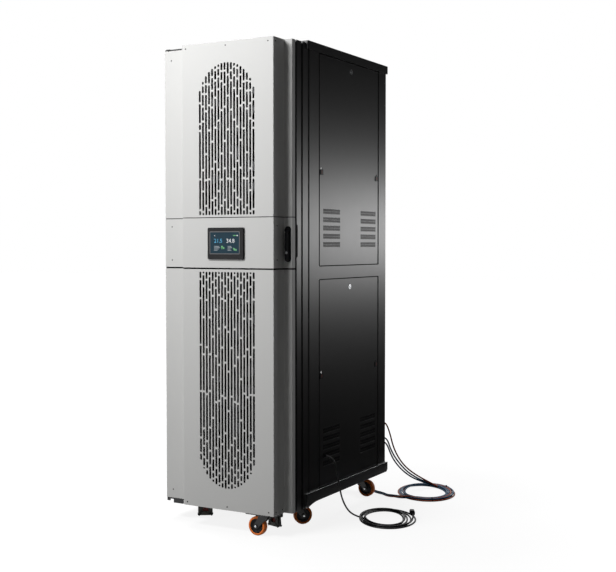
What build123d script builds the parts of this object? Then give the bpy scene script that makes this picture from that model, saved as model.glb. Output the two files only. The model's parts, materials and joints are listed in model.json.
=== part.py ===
from build123d import *
from math import ceil, pi, radians, sqrt, tan
import os

# A rear door heat exchanger on its rack cabinet, in millimetres.
# X runs to the right and Z up. Y is measured from the face of the door's raised box
# while the pieces are made, and every piece moves by centre_shift when it is written.

# Door
door_width = 600.0
door_height = 1825.0
door_bottom = 87.0
sheet = 2.0
bend = 1.0
tray_fit = 0.3
seat = 0.05
left_flange = 141.5
right_flange = 37.0
box_depth = 77.7
flange_depth = 20.9
lower_panel_height = 944.0
display_panel_height = 194.5
reveal_low = 6.0
reveal_high = 3.0
tray_border = 45.0
tray_side = 8.0
crossbar_below = 8.0
crossbar_above = 26.0
bush_height = 34.0
bush_reach = 14.0
gasket_width = 16.0
gasket_inset = 20.0
gasket_side = 10.0
gasket_hinge_gap = 22.0

# Slotted grilles
slot_columns = 18
slot_pitch = 14.53
slot_width = 9.0
slot_corner = 2.6
slot_bridge = 6.5
long_slot = 200.0
shortest_slot = 9.0
bridge_spacing = 24.0
grille_shift = -2.35
arch_height = 153.0
upper_grille_margin = 80.5
upper_grille_foot = 8.5
lower_grille_margin = 85.0
lower_grille_head = 10.0

# Cabinet
frame_rise = 2.0
roof_rise = 9.0
frame_bottom = 100.0
frame_leg = 60.0
frame_sheet = 3.0
frame_sill = 50.0
frame_head = 48.0
keeper_low = 43.0
keeper_high = 31.0
adapter_gap = 12.4
adapter_depth = 35.0
adapter_neck = 13.0
neck_inset = 6.0
ring_depth = 40.0
post_gap = 13.0
front_post_depth = 78.0
front_post_inset = 3.0
rear_post_depth = 72.0
rear_step = 7.0
beam_height = 60.0
cross_rail_drop = 43.0
cross_rail_height = 53.0
cross_rail_depth = 20.0
panel_gap = 2.0
front_panel_gap = 7.0
rear_panel_gap = 10.0
side_panel_return = 18.0
roof_overhang = 10.0
roof_front_step = 26.0
roof_rear_step = 4.5
roof_height = 34.0
skirt_overhang = 10.0
skirt_front_step = 15.0
skirt_rear = 924.0
skirt_top = 144.0
skirt_base = 102.0
skirt_toe = 87.0

# Louvres in the side panels
louvre_rows = 5
louvre_height = 22.0
louvre_pitch = 33.5
louvre_recess = 1.2
louvre_length = 148.0
louvre_front_inset = 28.5
louvre_rear_inset = 22.5
upper_louvre_rise = 76.0
lower_louvre_rise = 82.0

# Locks and latches in the side panels
lock_radius = 9.0
upper_lock_shift = 9.0
lower_lock_shift = -4.0
upper_lock_drop = 38.0
lower_lock_drop = 37.0
latch_front_inset = 14.0
latch_rear_inset = 16.0
upper_latch_share = 0.4443
lower_latch_share = 0.5381
latch_half_width = 6.0
latch_half_height = 14.0
latch_neck = 3.0
latch_neck_height = 10.0
latch_travel = 8.0

# Casters
wheel_diameter = 75.0
wheel_width = 24.0
tyre_thickness = 9.5
core_rim = 6.0
hub_radius = 9.0
dish_depth = 3.5
trail = 35.0
axle_radius = 4.0
fork_sheet = 3.0
fork_gap = 1.0
fork_eye = 10.0
fork_head = 40.0
fork_head_shift = 4.0
crown_radius = 23.0
race_radius = 25.0
caster_inset = 84.0
front_caster_step = 26.0
rear_caster_inset = 94.0
caster_plate_size = 62.0
caster_plate_thickness = 4.0
kingpin_radius = 5.0
pin_fit = 0.05
running_gap = 0.3
pedal_pivot = 38.0
pedal_drop = 8.0
pedal_reach = 114.0
pedal_shoulder = 64.0
pedal_foot = 14.0
pedal_half_width = 30.0
pedal_arm = 10.0
pedal_sheet = 4.0
pedal_eye = 3.7
pedal_pin = 2.5
door_caster_inset = 53.0
door_caster_y = 26.0
door_bracket_length = 130.0
door_bracket_depth = 56.0
front_headings = {"fr": 45.0, "fl": 145.0, "rr": 0.0, "rl": 180.0}
pedal_headings = {"fr": -106.0, "fl": -56.0}

# Hinge and handle
hinge_x_inset = 16.0
hinge_set_back = 11.3
hinge_pin_radius = 6.0
hinge_pin_length = 33.0
hinge_leaf = 5.0
hinge_leaf_start = 3.0
hinge_leaf_length = 80.0
hinge_dome_radius = 13.5
dome_flatness = 0.3
washer_radius = 10.0
washer_height = 0.7
handle_inset = 19.0
handle_drop = 33.5
handle_length = 137.0
handle_width = 25.3
handle_rim = 3.0
handle_gap = 0.5
pan_fit = 0.2
pan_depth = 12.0
pan_head = 34.0
spindle_drop = 16.0
spindle_radius = 6.0
lever_width = 18.0
lever_thickness = 11.5
lever_pin_radius = 1.5
lever_pin_depth = 6.0
fork_radius = 8.5
fork_slot = 4.0
tongue_half = 2.8
tongue_end = 2.6
cam_thickness = 3.5
cam_length = 13.0
key_rise = 35.0
key_radius = 5.5

# Fans and coil
fan_side_gap = 17.5
fan_tip_gap = 3.0
fan_blades = 7
fan_hub_radius = 40.0
fan_axle_radius = 4.0
fan_ring_front = 14.0
fan_ring_wall = 3.0
strut_width = 9.0
fan_plate_y = 46.0
coil_front = 52.0
coil_depth = 40.0
coil_left_inset = 52.0
coil_right_inset = 10.0
coil_core = 3.0
fin_pitch = 9.0
fin_thickness = 3.0
header_radius = 9.0
header_inset = 60.0
feeder_radius = 4.0
feeders = 4
feeder_margin = 40.0
collar_radius = 12.0
collar_length = 12.0
stub_reach = 20.0
stub_rises = (213.0, 133.0)
header_places = ((18.0, 4.0), (36.0, -8.0))

# Display
display_width = 166.0
display_height = 123.5
display_proud = 8.0
display_shift = -84.4
display_rise = 33.0
screen_depth = 2.5
screen_left = 10.0
screen_right = 16.0
screen_low = 20.0
screen_high = 14.5

# Rack rails
rack_unit = 44.45
rail_side_gap = 67.45
rail_set_back = 40.0
rail_rear_gap = 45.0
rail_hole = 9.5
rail_hole_units = 4
rail_leg = 28.0

# Cords: each route runs from its gland, with heights as shares of the gland's height
cord_radius = 3.5
strand_radius = 3.5
bundle_radius = 7.5
gland_radius = 6.0
gland_flange = 8.5
gland_reach = 10.0
gland_set_back = 39.0
gland_rise = 45.0
strand_gland_inset = 14.0
strand_gland_rises = (178.0, 110.0, 90.0)
power_steps = [(18, 4, 0.982), (27, 9, 0.923), (28, 18, 0.827), (29, 35, 0.679), (29, 54, 0.509),
               (33, 69, 0.306), (44, 96, 0.125), (66, 110, 0.044), (92, 100, 0.022)]
orange_steps = [(2, 24, 0.984), (8, 36, 0.919), (17, 43, 0.814), (27, 50, 0.658), (40, 64, 0.522),
                (60, 89, 0.379), (84, 121, 0.267), (112, 160, 0.171), (144, 204, 0.087),
                (172, 240, 0.043)]
blue_steps_a = [(2, 24, 0.98), (10, 37, 0.902), (19, 41, 0.78), (35, 56, 0.614), (55, 82, 0.457),
                (76, 111, 0.319), (108, 156, 0.185), (136, 197, 0.083), (156, 236, 0.047)]
blue_steps_b = [(1, 23, 0.974), (8, 36, 0.893), (17, 42, 0.769), (28, 55, 0.624), (44, 78, 0.474),
                (63, 106, 0.342), (86, 139, 0.222), (111, 177, 0.115), (140, 230, 0.051)]
tail_route = [(-50, -110, 10), (-66, -143, 9), (-90, -163, 8), (-124, -165, 8), (-160, -147, 8),
              (-194, -119, 8), (-232, -101, 8), (-270, -100, 12), (-298, -110, 32), (-310, -117, 66),
              (-314, -120, 100)]
power_coil_halves = (122.0, 170.0)
power_coil_height = 19.0
power_coil_reach = 208.0
power_coil_set_back = 154.0
strand_coil_halves = (135.0, 178.0)
strand_coil_height = 22.0
strand_coil_reach = 170.0
strand_coil_set_back = 91.0
coil_bundle = 34.0
coil_turn = 29.0
plug_offset = (92.0, 51.0, 29.6)
plug_turn = 119.0

# Places worked out from the sizes above
door_left = -door_width / 2
door_right = door_width / 2
door_top = door_bottom + door_height
door_depth = box_depth + flange_depth
box_left = door_left + left_flange
box_right = door_right - right_flange
flange_y = box_depth
lower_panel_top = door_bottom + lower_panel_height
display_panel_bottom = lower_panel_top + reveal_low
display_panel_top = display_panel_bottom + display_panel_height
upper_panel_bottom = display_panel_top + reveal_high
grille_offset = (box_left + box_right) / 2 + grille_shift
display_left = grille_offset + display_shift
display_bottom = display_panel_bottom + display_rise
hinge_x = door_left + hinge_x_inset
hinge_y = flange_y + hinge_set_back
frame_top = door_top + frame_rise
cabinet_top = frame_top + roof_rise
adapter_front = door_depth + adapter_gap
ring_front = adapter_front + adapter_depth + adapter_neck
post_start = ring_front + ring_depth + post_gap
front_post_rear = post_start + front_post_depth
rear_post_rear = skirt_rear - rear_step
rear_post_front = rear_post_rear - rear_post_depth
side_panel_front = front_post_rear + front_panel_gap
side_panel_rear = rear_post_front - rear_panel_gap
side_panel_middle = (side_panel_front + side_panel_rear) / 2
cross_rail_low = lower_panel_top - cross_rail_drop
cross_rail_high = cross_rail_low + cross_rail_height
roof_front = ring_front + roof_front_step
roof_rear = skirt_rear - roof_rear_step
roof_bottom = cabinet_top - roof_height
skirt_front = ring_front + skirt_front_step
beam_top = roof_bottom + beam_height / 2
upper_panel_foot = cross_rail_high + panel_gap
upper_panel_head = roof_bottom - panel_gap
lower_panel_foot = skirt_top + panel_gap
lower_panel_head = cross_rail_low - panel_gap
louvre_front = side_panel_front + louvre_front_inset
louvre_rear_group = side_panel_rear - louvre_rear_inset - louvre_length
upper_louvre_foot = cross_rail_high + upper_louvre_rise
lower_louvre_foot = skirt_top + lower_louvre_rise
latch_places = (side_panel_front + latch_front_inset, side_panel_rear - latch_rear_inset)
upper_lock = (side_panel_middle + upper_lock_shift, roof_bottom - upper_lock_drop)
lower_lock = (side_panel_middle + lower_lock_shift, cross_rail_low - lower_lock_drop)
upper_latch_z = upper_panel_foot + upper_latch_share * (upper_panel_head - upper_panel_foot)
lower_latch_z = lower_panel_foot + lower_latch_share * (lower_panel_head - lower_panel_foot)
handle_x = door_right - handle_inset
handle_top = display_panel_top - handle_drop
handle_bottom = handle_top - handle_length
handle_front = flange_y - sheet - handle_gap
handle_slot = handle_width / 2 - handle_rim
spindle_z = handle_top - spindle_drop
lever_pin_y = handle_front - lever_pin_depth
key_z = handle_bottom + key_rise
caster_x = door_right - caster_inset
front_caster_y = post_start + front_caster_step
rear_caster_y = skirt_rear - rear_caster_inset
door_caster_x = box_right - door_caster_inset
pedal_pivot_z = frame_bottom - pedal_drop
upper_grille_low = upper_panel_bottom + upper_grille_foot
upper_grille_high = door_top - upper_grille_margin
lower_grille_low = door_bottom + lower_grille_margin
lower_grille_high = lower_panel_top - lower_grille_head
fan_spacing = min((upper_grille_high - upper_grille_low) / 2, (lower_grille_high - lower_grille_low) / 3)
fan_radius = fan_spacing / 2 - fan_side_gap
coil_middle = coil_front + coil_depth / 2
rail_hole_x = door_right - rail_side_gap
rail_front = front_post_rear + rail_set_back
rail_rear = rear_post_front - rail_rear_gap
gland_y = side_panel_front + gland_set_back
gland_z = lower_louvre_foot + gland_rise
strand_gland_x = door_right - strand_gland_inset
strand_gland_zs = [skirt_top + rise for rise in strand_gland_rises]
power_coil_centre = (door_right + power_coil_reach, gland_y + power_coil_set_back)
strand_coil_centre = (door_right + strand_coil_reach, skirt_rear + strand_coil_set_back)
centre_shift = -(skirt_rear - display_proud) / 2

nodes = {}


def block(x0, x1, y0, y1, z0, z1):
    """A box between two corners."""
    return Pos((x0 + x1) / 2, (y0 + y1) / 2, (z0 + z1) / 2) * Box(x1 - x0, y1 - y0, z1 - z0)


def rod_x(radius, x0, x1, y, z):
    return Pos((x0 + x1) / 2, y, z) * Rot(0, 90, 0) * Cylinder(radius, x1 - x0)


def rod_y(radius, y0, y1, x, z):
    return Pos(x, (y0 + y1) / 2, z) * Rot(90, 0, 0) * Cylinder(radius, y1 - y0)


def rod_z(radius, z0, z1, x, y):
    return Pos(x, y, (z0 + z1) / 2) * Cylinder(radius, z1 - z0)


def mirrored(shape):
    return mirror(shape, about=Plane.YZ)


def folded_sheet(points, z0, z1):
    """Sheet folded along a path of square turns, with its thickness on the path's left."""
    steps = [(b[0] - a[0], b[1] - a[1]) for a, b in zip(points, points[1:])]
    lefts = [(-dy / (abs(dx) + abs(dy)), dx / (abs(dx) + abs(dy))) for dx, dy in steps]
    inner = []
    for i, (x, y) in enumerate(points):
        sides = lefts[max(i - 1, 0):i + 1] if 0 < i < len(lefts) else [lefts[min(i, len(lefts) - 1)]]
        inner.append((x + sheet * sum(s[0] for s in sides), y + sheet * sum(s[1] for s in sides)))
    turns = [a[0] * b[1] - a[1] * b[0] for a, b in zip(steps, steps[1:])]
    outer_radii = [bend + sheet if turn > 0 else bend for turn in turns]
    inner_radii = [bend if turn > 0 else bend + sheet for turn in turns]
    outer_path = FilletPolyline(*points, radius=outer_radii)
    inner_path = FilletPolyline(*inner, radius=inner_radii)
    ends = [Line(points[0], inner[0]), Line(points[-1], inner[-1])]
    face = make_face([*outer_path.edges(), *inner_path.edges(), *ends])
    return Pos(0, 0, z0) * extrude(face, amount=z1 - z0, dir=(0, 0, 1))


def door_outline():
    """The door's section, from its left rear edge round the raised box to its right rear edge."""
    return [(door_left, door_depth), (door_left, flange_y), (box_left, flange_y), (box_left, 0),
            (box_right, 0), (box_right, flange_y), (door_right, flange_y), (door_right, door_depth)]


def door_cap(z0):
    """The sheet that closes a panel's top or bottom edge."""
    path = FilletPolyline(*door_outline(), radius=[bend + sheet, bend, bend + sheet, bend + sheet, bend,
                                                   bend + sheet])
    closing = Line((door_left, door_depth), (door_right, door_depth))
    return Pos(0, 0, z0) * extrude(make_face([*path.edges(), closing]), amount=sheet, dir=(0, 0, 1))


def column_bridges(length, flat_end, arch_end):
    """Places of the bridges in a slot column, from its flat end, with long stretches divided."""
    marks = [mark for mark in flat_end if mark < length / 2 or length - mark > arch_end[-1] + bridge_spacing]
    marks += [length - mark for mark in arch_end]
    marks = sorted(mark for mark in marks if slot_bridge < mark < length - slot_bridge)
    spaced = []
    for mark in marks:
        if not spaced or mark - spaced[-1] > shortest_slot + slot_bridge:
            spaced.append(mark)
    edges = [0.0] + spaced + [length]
    result = []
    for low, high in zip(edges, edges[1:]):
        parts = ceil((high - low) / long_slot)
        result += [low + (high - low) * k / parts for k in range(1, parts)]
        result.append(high)
    return result[:-1]


def slot(x, z0, z1):
    """An upright slot with rounded-off ends, as a closed outline in the XZ plane."""
    half = slot_width / 2
    c = min(slot_corner, (z1 - z0) / 2 - 0.5)
    return [(x - half, z0 + c), (x - half + c, z0), (x + half - c, z0), (x + half, z0 + c),
            (x + half, z1 - c), (x + half - c, z1), (x - half + c, z1), (x - half, z1 - c)]


def grille_slots(flat_z, apex_z, sequence, flat_marks, arch_marks):
    """Cutters for a grille with one flat end and one arched end."""
    upwards = 1 if apex_z > flat_z else -1
    half_span = slot_columns / 2
    cutters = []
    for column, kind in enumerate(sequence):
        offset = column - (slot_columns - 1) / 2
        x = grille_offset + offset * slot_pitch
        drop = arch_height * (1 - sqrt(1 - (offset / half_span) ** 2))
        length = abs(apex_z - flat_z) - drop
        cuts = column_bridges(length, flat_marks[kind], arch_marks[kind])
        starts = [0.0] + [cut + slot_bridge / 2 for cut in cuts]
        ends = [cut - slot_bridge / 2 for cut in cuts] + [length]
        for start, end in zip(starts, ends):
            low, high = sorted((flat_z + upwards * start, flat_z + upwards * end))
            outline = Plane.XZ * Polyline(*slot(x, low, high), close=True)
            cutters.append(extrude(make_face(outline.edges()), amount=3 * sheet, dir=(0, 1, 0)))
    return [Pos(0, -sheet, 0) * cutter for cutter in cutters]


def upper_grille_panel():
    flat_marks = {"A": (20, 140, 330), "B": (13, 93, 176, 366), "C": (36, 238, 405),
                  "D": (58, 180, 286, 418), "E": (28, 66, 207, 339, 455)}
    arch_marks = {"A": (48, 129), "B": (14, 47, 96), "C": (31, 69), "D": (32, 85), "E": (14, 55)}
    panel = folded_sheet(door_outline(), upper_panel_bottom, door_top - sheet) + door_cap(door_top - sheet)
    cutters = grille_slots(upper_grille_low, upper_grille_high, "ABCADEBCDACBEDACBA", flat_marks, arch_marks)
    cutters.append(pin_hole(door_top - sheet))
    return panel.cut(*cutters)


def lower_grille_panel():
    flat_marks = {"A": (29, 104), "B": (10, 56, 179), "C": (31, 111), "D": (40, 94), "E": (25, 63, 148),
                  "F": (17, 70, 179), "G": (11, 90, 222), "H": (33, 105), "I": (55, 112, 215), "J": (20, 78)}
    arch_marks = {"A": (28, 89), "B": (10, 47, 91, 161), "C": (21, 55, 133), "D": (13, 40, 94),
                  "E": (29, 66, 144), "F": (52, 111, 203), "G": (11, 52, 117, 196), "H": (22, 84, 172),
                  "I": (38, 111, 218), "J": (13, 62, 151)}
    panel = folded_sheet(door_outline(), door_bottom + sheet, lower_panel_top) + door_cap(door_bottom)
    cutters = grille_slots(lower_grille_high, lower_grille_low, "ABCFDEGHIJHGEDFCBA", flat_marks, arch_marks)
    cutters.append(pin_hole(door_bottom))
    return panel.cut(*cutters)


def pin_hole(z):
    """The hole for a hinge pin through the cap at this height."""
    return rod_z(hinge_pin_radius + 1, z - sheet, z + 2 * sheet, hinge_x, hinge_y)


def display_panel():
    panel = folded_sheet(door_outline(), display_panel_bottom, display_panel_top)
    return panel - handle_window(flange_y - sheet, flange_y + 2 * sheet)


def handle_window(front, rear):
    return block(handle_x - handle_slot, handle_x + handle_slot, front, rear, handle_bottom + handle_rim,
                 handle_top - handle_rim)


def door_tray():
    """The folded frame inside the door: flange channels, box walls, cross members and back plate."""
    back_y = door_depth - sheet
    lip_y = flange_y + sheet + tray_fit
    front_y = sheet + tray_fit
    z0 = door_bottom + sheet
    z1 = door_top - sheet
    left = door_left + sheet + tray_fit
    right = door_right - sheet - tray_fit
    wall_left = box_left + sheet + tray_fit
    wall_right = box_right - sheet - tray_fit
    body = block(left, right, back_y, door_depth, z0, z1)
    body -= block(box_left + tray_side, box_right - tray_side, back_y - 1, door_depth + 1, z0 + tray_border,
                  z1 - tray_border)
    for wall_x, lip0, lip1 in ((wall_left, left, wall_left), (wall_right - sheet, wall_right, right)):
        body += block(wall_x, wall_x + sheet, front_y, back_y, z0, z1)
        body += block(lip0, lip1, lip_y, lip_y + sheet, z0, z1)
    body += block(left, left + sheet, lip_y, back_y, z0, z1)
    body += block(right - sheet, right, lip_y, back_y, z0, z1)
    for z in (z0, z1 - sheet):
        body += block(wall_left, wall_right, front_y, back_y, z, z + sheet)
    for low, high in ((lower_panel_top - crossbar_below, display_panel_bottom + crossbar_above),
                      (display_panel_top - crossbar_above, upper_panel_bottom + crossbar_below)):
        body += block(wall_left, wall_right, front_y, front_y + sheet, low, high)
        body += block(wall_left, wall_right, front_y, fan_plate_y, low, low + sheet)
    body -= handle_window(lip_y - 1, lip_y + sheet + 1)
    for z_low, z_high in ((z0, z0 + bush_height), (z1 - bush_height, z1)):
        body += block(left + sheet, hinge_x + bush_reach, lip_y + sheet, back_y, z_low, z_high)
        body -= rod_z(hinge_pin_radius + pin_fit, z_low - 1, z_high + 1, hinge_x, hinge_y)
    return body


def door_gasket():
    """A rubber frame round the coil opening, behind the door."""
    left = hinge_x + gasket_hinge_gap
    right = door_right - gasket_side
    z0 = door_bottom + gasket_inset
    z1 = door_top - gasket_inset
    ring = block(left, right, door_depth, adapter_front - running_gap, z0, z1)
    return ring - block(left + gasket_width, right - gasket_width, door_depth - 1, adapter_front,
                        z0 + gasket_width, z1 - gasket_width)


def coil_fins():
    """A stack of upright fins on a thin core, cut by grooves from the front and the back."""
    left = box_left + coil_left_inset
    right = box_right - coil_right_inset
    fins = int((right - left - fin_thickness) / fin_pitch)
    first = (left + right - fins * fin_pitch) / 2
    groove = (coil_depth - coil_core) / 2
    profile = Pos((left + right) / 2, coil_middle) * Rectangle(right - left, coil_depth)
    grooves = []
    for k in range(fins):
        x = first + (k + 0.5) * fin_pitch
        for y in (coil_front + groove / 2, coil_front + coil_depth - groove / 2):
            grooves.append(Pos(x, y) * Rectangle(fin_pitch - fin_thickness, groove))
    z0 = door_bottom + 2 * sheet + seat
    z1 = door_top - 2 * sheet - seat
    return Pos(0, 0, z0) * extrude(profile - grooves, amount=z1 - z0)


def coil_circuit():
    """Two headers at the hinge side, their feeders into the coil and their rear stubs."""
    stub_end = adapter_front + stub_reach
    z0 = door_bottom + header_inset
    z1 = door_top - header_inset
    parts = []
    for (inset, shift), stub_rise in zip(header_places, stub_rises):
        x = box_left + inset
        y = coil_middle + shift
        header = rod_z(header_radius, z0, z1, x, y)
        for k in range(feeders):
            z = z0 + feeder_margin + (z1 - z0 - 2 * feeder_margin) * k / (feeders - 1) + inset
            header += rod_x(feeder_radius, x, box_left + coil_left_inset, y, z)
        header += rod_y(header_radius, y, stub_end, x, door_bottom + stub_rise)
        header += rod_y(collar_radius, stub_end - collar_length, stub_end, x, door_bottom + stub_rise)
        parts.append(header)
    return parts[0] + parts[1]


def fan_centres():
    """Three fans behind the lower grille and two behind the upper one."""
    centres = []
    for low, high, count in ((lower_grille_low, lower_grille_high, 3),
                             (upper_grille_low, upper_grille_high, 2)):
        centres += [low + (high - low) * (k + 0.5) / count for k in range(count)]
    return centres


def fan_plate():
    """The bulkhead with a ring, four struts and a motor for each fan."""
    z0 = door_bottom + 2 * sheet
    z1 = door_top - 2 * sheet
    wall = 2 * sheet + tray_fit
    plate = block(box_left + wall, box_right - wall, fan_plate_y, fan_plate_y + sheet, z0, z1)
    inner = fan_radius + fan_tip_gap
    for z in fan_centres():
        plate += rod_y(inner + fan_ring_wall, fan_ring_front, fan_plate_y, grille_offset, z)
        plate -= rod_y(inner, fan_ring_front - 1, fan_plate_y + sheet + 1, grille_offset, z)
        for angle in (45, 135):
            strut = Box(2 * (inner + sheet), sheet, strut_width)
            plate += Pos(grille_offset, fan_plate_y + sheet / 2, z) * Rot(0, angle, 0) * strut
        plate += rod_y(fan_hub_radius, fan_plate_y - sheet, fan_plate_y + sheet, grille_offset, z)
        plate += rod_y(fan_axle_radius, fan_ring_front + 6, fan_plate_y, grille_offset, z)
    return plate


def fan_rotor(z):
    """A hub cup with raked and twisted blades round it."""
    front = fan_ring_front + 3
    rear = fan_plate_y - sheet - handle_gap
    hub = rod_y(fan_hub_radius, front, rear, grille_offset, z)
    hub -= rod_y(fan_axle_radius + pin_fit, front - 1, fan_plate_y, grille_offset, z)
    root = Plane(origin=(fan_hub_radius - 2, 0, 0), x_dir=(0, 1, 0), z_dir=(1, 0, 0))
    tip = Plane(origin=(fan_radius, 0, 0), x_dir=(0, 1, 0), z_dir=(1, 0, 0))
    blade = loft([root * Rot(0, 0, 38) * Rectangle(3, 30), tip * Rot(0, 0, 24) * Rectangle(2, 50)])
    for k in range(fan_blades):
        hub += Pos(grille_offset, (front + rear) / 2, z) * Rot(0, 360 * k / fan_blades, 0) * blade
    return hub


def display_bezel():
    body = block(display_left, display_left + display_width, -display_proud, 0, display_bottom,
                 display_bottom + display_height)
    body = fillet(body.edges().filter_by(Axis.Y), 5)
    body = chamfer(body.faces().sort_by(Axis.Y)[0].edges(), 1.2)
    return body - screen_block()


def screen_block():
    """The screen's glass, which is also the recess that holds it."""
    glass = block(display_left + screen_left, display_left + display_width - screen_right, -display_proud,
                  screen_depth - display_proud, display_bottom + screen_low,
                  display_bottom + display_height - screen_high)
    return fillet(glass.edges().filter_by(Axis.Y), 4)


def handle_dish():
    """A shallow pan let into the right flange."""
    half = handle_width / 2
    rim = block(handle_x - half, handle_x + half, flange_y - sheet, flange_y, handle_bottom, handle_top)
    rim = fillet(rim.edges().filter_by(Axis.Y), half - 1)
    edge = handle_rim + pan_fit
    pan = block(handle_x - half + edge, handle_x + half - edge, flange_y, flange_y + pan_depth,
                handle_bottom + edge, handle_top - edge)
    pan = fillet(pan.edges().filter_by(Axis.Y), 6)
    edge += sheet
    hollow = block(handle_x - half + edge, handle_x + half - edge, flange_y - 3,
                   flange_y + pan_depth - sheet, handle_bottom + edge, handle_top - pan_head)
    hollow = fillet(hollow.edges().filter_by(Axis.Y), 4)
    bore = rod_y(spindle_radius + pin_fit, flange_y - 3, flange_y + pan_depth + 1, handle_x, spindle_z)
    return rim + pan - hollow - bore


def handle_spindle():
    """The spindle with its fork for the lever in front and its cam behind."""
    cam_front = flange_y + pan_depth + handle_gap
    cam_rear = cam_front + cam_thickness
    body = rod_y(spindle_radius, lever_pin_y, cam_rear, handle_x, spindle_z)
    face = handle_front - lever_thickness
    body += rod_y(fork_radius, face + 1, handle_front, handle_x, spindle_z)
    body -= block(handle_x - fork_slot, handle_x + fork_slot, face, handle_front - 2,
                  spindle_z - fork_radius - 1, spindle_z + fork_radius + 1)
    body += rod_x(lever_pin_radius, handle_x - fork_slot, handle_x + fork_slot, lever_pin_y, spindle_z)
    return body + block(handle_x - 5, handle_x + 5, cam_front, cam_rear, spindle_z, spindle_z + cam_length)


def swing_lever():
    """The long lever, hung on the spindle's cross pin and rounded at its lower end."""
    half = lever_width / 2
    low = handle_bottom + handle_rim
    top = spindle_z - fork_radius - 1.5
    face = handle_front - lever_thickness
    grip = block(handle_x - half, handle_x + half, face, handle_front, low, top)
    grip = fillet(grip.edges().filter_by(Axis.Y).sort_by(Axis.Z)[:2], half - 0.5)
    grip = chamfer(grip.faces().sort_by(Axis.Y)[0].edges(), 1.5)
    tongue = block(handle_x - fork_slot + handle_gap, handle_x + fork_slot - handle_gap,
                   lever_pin_y - tongue_half, lever_pin_y + tongue_half, top - 1, spindle_z + tongue_end)
    eye = rod_x(lever_pin_radius + pin_fit, handle_x - 5, handle_x + 5, lever_pin_y, spindle_z)
    lock = rod_y(key_radius + pin_fit, face - 1, handle_front - 2, handle_x, key_z)
    return grip + tongue - eye - lock


def key_plug():
    face = handle_front - lever_thickness - 1
    plug = rod_y(key_radius, face, handle_front - 2.1, handle_x, key_z)
    return plug - block(handle_x - 0.8, handle_x + 0.8, face - 1, handle_front - 8, key_z - 3.5, key_z + 3.5)


def hinge_brackets():
    """Fixed leaves above and below the door, with the pins it turns on."""
    x0 = door_left + hinge_leaf_start
    x1 = x0 + hinge_leaf_length
    front = flange_y + 1
    rear = adapter_front + adapter_depth
    top = frame_top - 1
    leaf_top = top + hinge_leaf
    upper = block(x0, x1, front, rear, top, leaf_top)
    upper += rod_z(hinge_pin_radius, top - hinge_pin_length, leaf_top, hinge_x, hinge_y)
    reach = hinge_dome_radius + 1
    dome = Pos(hinge_x, hinge_y, leaf_top) * Sphere(hinge_dome_radius)
    dome &= block(hinge_x - reach, hinge_x + reach, hinge_y - reach, hinge_y + reach, leaf_top,
                  leaf_top + reach)
    dome = Pos(0, 0, leaf_top * (1 - dome_flatness)) * scale(dome, by=(1, 1, dome_flatness))
    low = door_bottom - 1
    lower = block(x0, x1, front, rear, low - hinge_leaf, low)
    lower += block(x0, x0 + 14, front, front + 4, low - 13, low)
    lower += block(x0 + 32, x1, front, front + 4, low - 20, low)
    lower += rod_z(hinge_pin_radius, low, low + hinge_pin_length + 1, hinge_x, hinge_y)
    lower += rod_z(washer_radius, low, low + washer_height, hinge_x, hinge_y)
    return [upper + dome, lower]


def adapter_frame():
    """The frame between door and cabinet, a channel open to the inside with a recessed neck."""
    y1 = adapter_front + adapter_depth
    leg_low = door_bottom - 1
    top = frame_top - 1
    frame = block(door_left, door_right, adapter_front, y1, leg_low, top)
    frame += block(door_left + neck_inset, door_right - neck_inset, y1, ring_front, leg_low,
                   top - neck_inset)
    opening_top = top - frame_head
    frame -= block(door_left + frame_leg, door_right - frame_leg, adapter_front - 1, ring_front + 1,
                   frame_bottom + frame_sill, opening_top)
    frame -= block(door_left + frame_leg, door_right - frame_leg, adapter_front - 1, ring_front + 1,
                   leg_low - 1, frame_bottom)
    frame -= block(door_left + sheet, door_right - sheet, adapter_front + sheet, y1 - sheet,
                   frame_bottom + frame_sill, opening_top)
    frame -= block(door_right - 4, door_right + 1, adapter_front - 1, adapter_front + 8,
                   display_panel_bottom + keeper_low, upper_panel_bottom - keeper_high)
    return frame


def cabinet_frame():
    """The welded frame: front ring, four posts, and the rails that tie them."""
    y1 = ring_front + ring_depth
    leg_low = door_bottom
    inner = door_right - frame_leg
    body = block(door_left, door_right, ring_front, y1, leg_low, frame_top)
    body -= block(-inner, inner, ring_front - 1, y1 + 1, frame_bottom + frame_sill,
                  frame_top - frame_head - 1)
    body -= block(-inner, inner, ring_front - 1, y1 + 1, leg_low - 1, frame_bottom)
    body -= block(door_left + frame_sheet, door_right - frame_sheet, ring_front + frame_sheet,
                  y1 - frame_sheet, frame_bottom + frame_sill, frame_top - frame_head - 1)
    for side in (-1, 1):
        outer = side * door_width / 2
        lows = sorted((side * inner, outer - side * front_post_inset))
        body += block(*lows, y1, post_start, frame_bottom, roof_bottom)
        for front, rear in ((post_start, front_post_rear), (rear_post_front, rear_post_rear)):
            xs = sorted((side * inner, outer))
            post = block(*xs, front, rear, frame_bottom, beam_top)
            hollow = sorted((side * (inner - 1), outer - side * frame_sheet))
            post -= block(*hollow, front + frame_sheet, rear - frame_sheet,
                          frame_bottom + beam_height, roof_bottom - beam_height)
            body += post
        rail = sorted((side * inner, outer - side * side_panel_return))
        body += block(*rail, front_post_rear, rear_post_front, beam_top - beam_height, beam_top)
        body += block(*rail, front_post_rear, rear_post_front, frame_bottom, frame_bottom + beam_height)
        body += block(*sorted((outer - side * cross_rail_depth, outer)), front_post_rear, rear_post_front,
                      cross_rail_low, cross_rail_high)
    body += block(-inner, inner, rear_post_front, rear_post_rear, frame_bottom, frame_bottom + beam_height)
    body -= block(-inner + 1, inner - 1, rear_post_front + frame_sheet, rear_post_rear + 1,
                  frame_bottom + frame_sheet, frame_bottom + beam_height - frame_sheet)
    body += block(-inner, inner, rear_post_rear - 30, rear_post_rear, beam_top - beam_height, beam_top)
    return body


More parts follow.
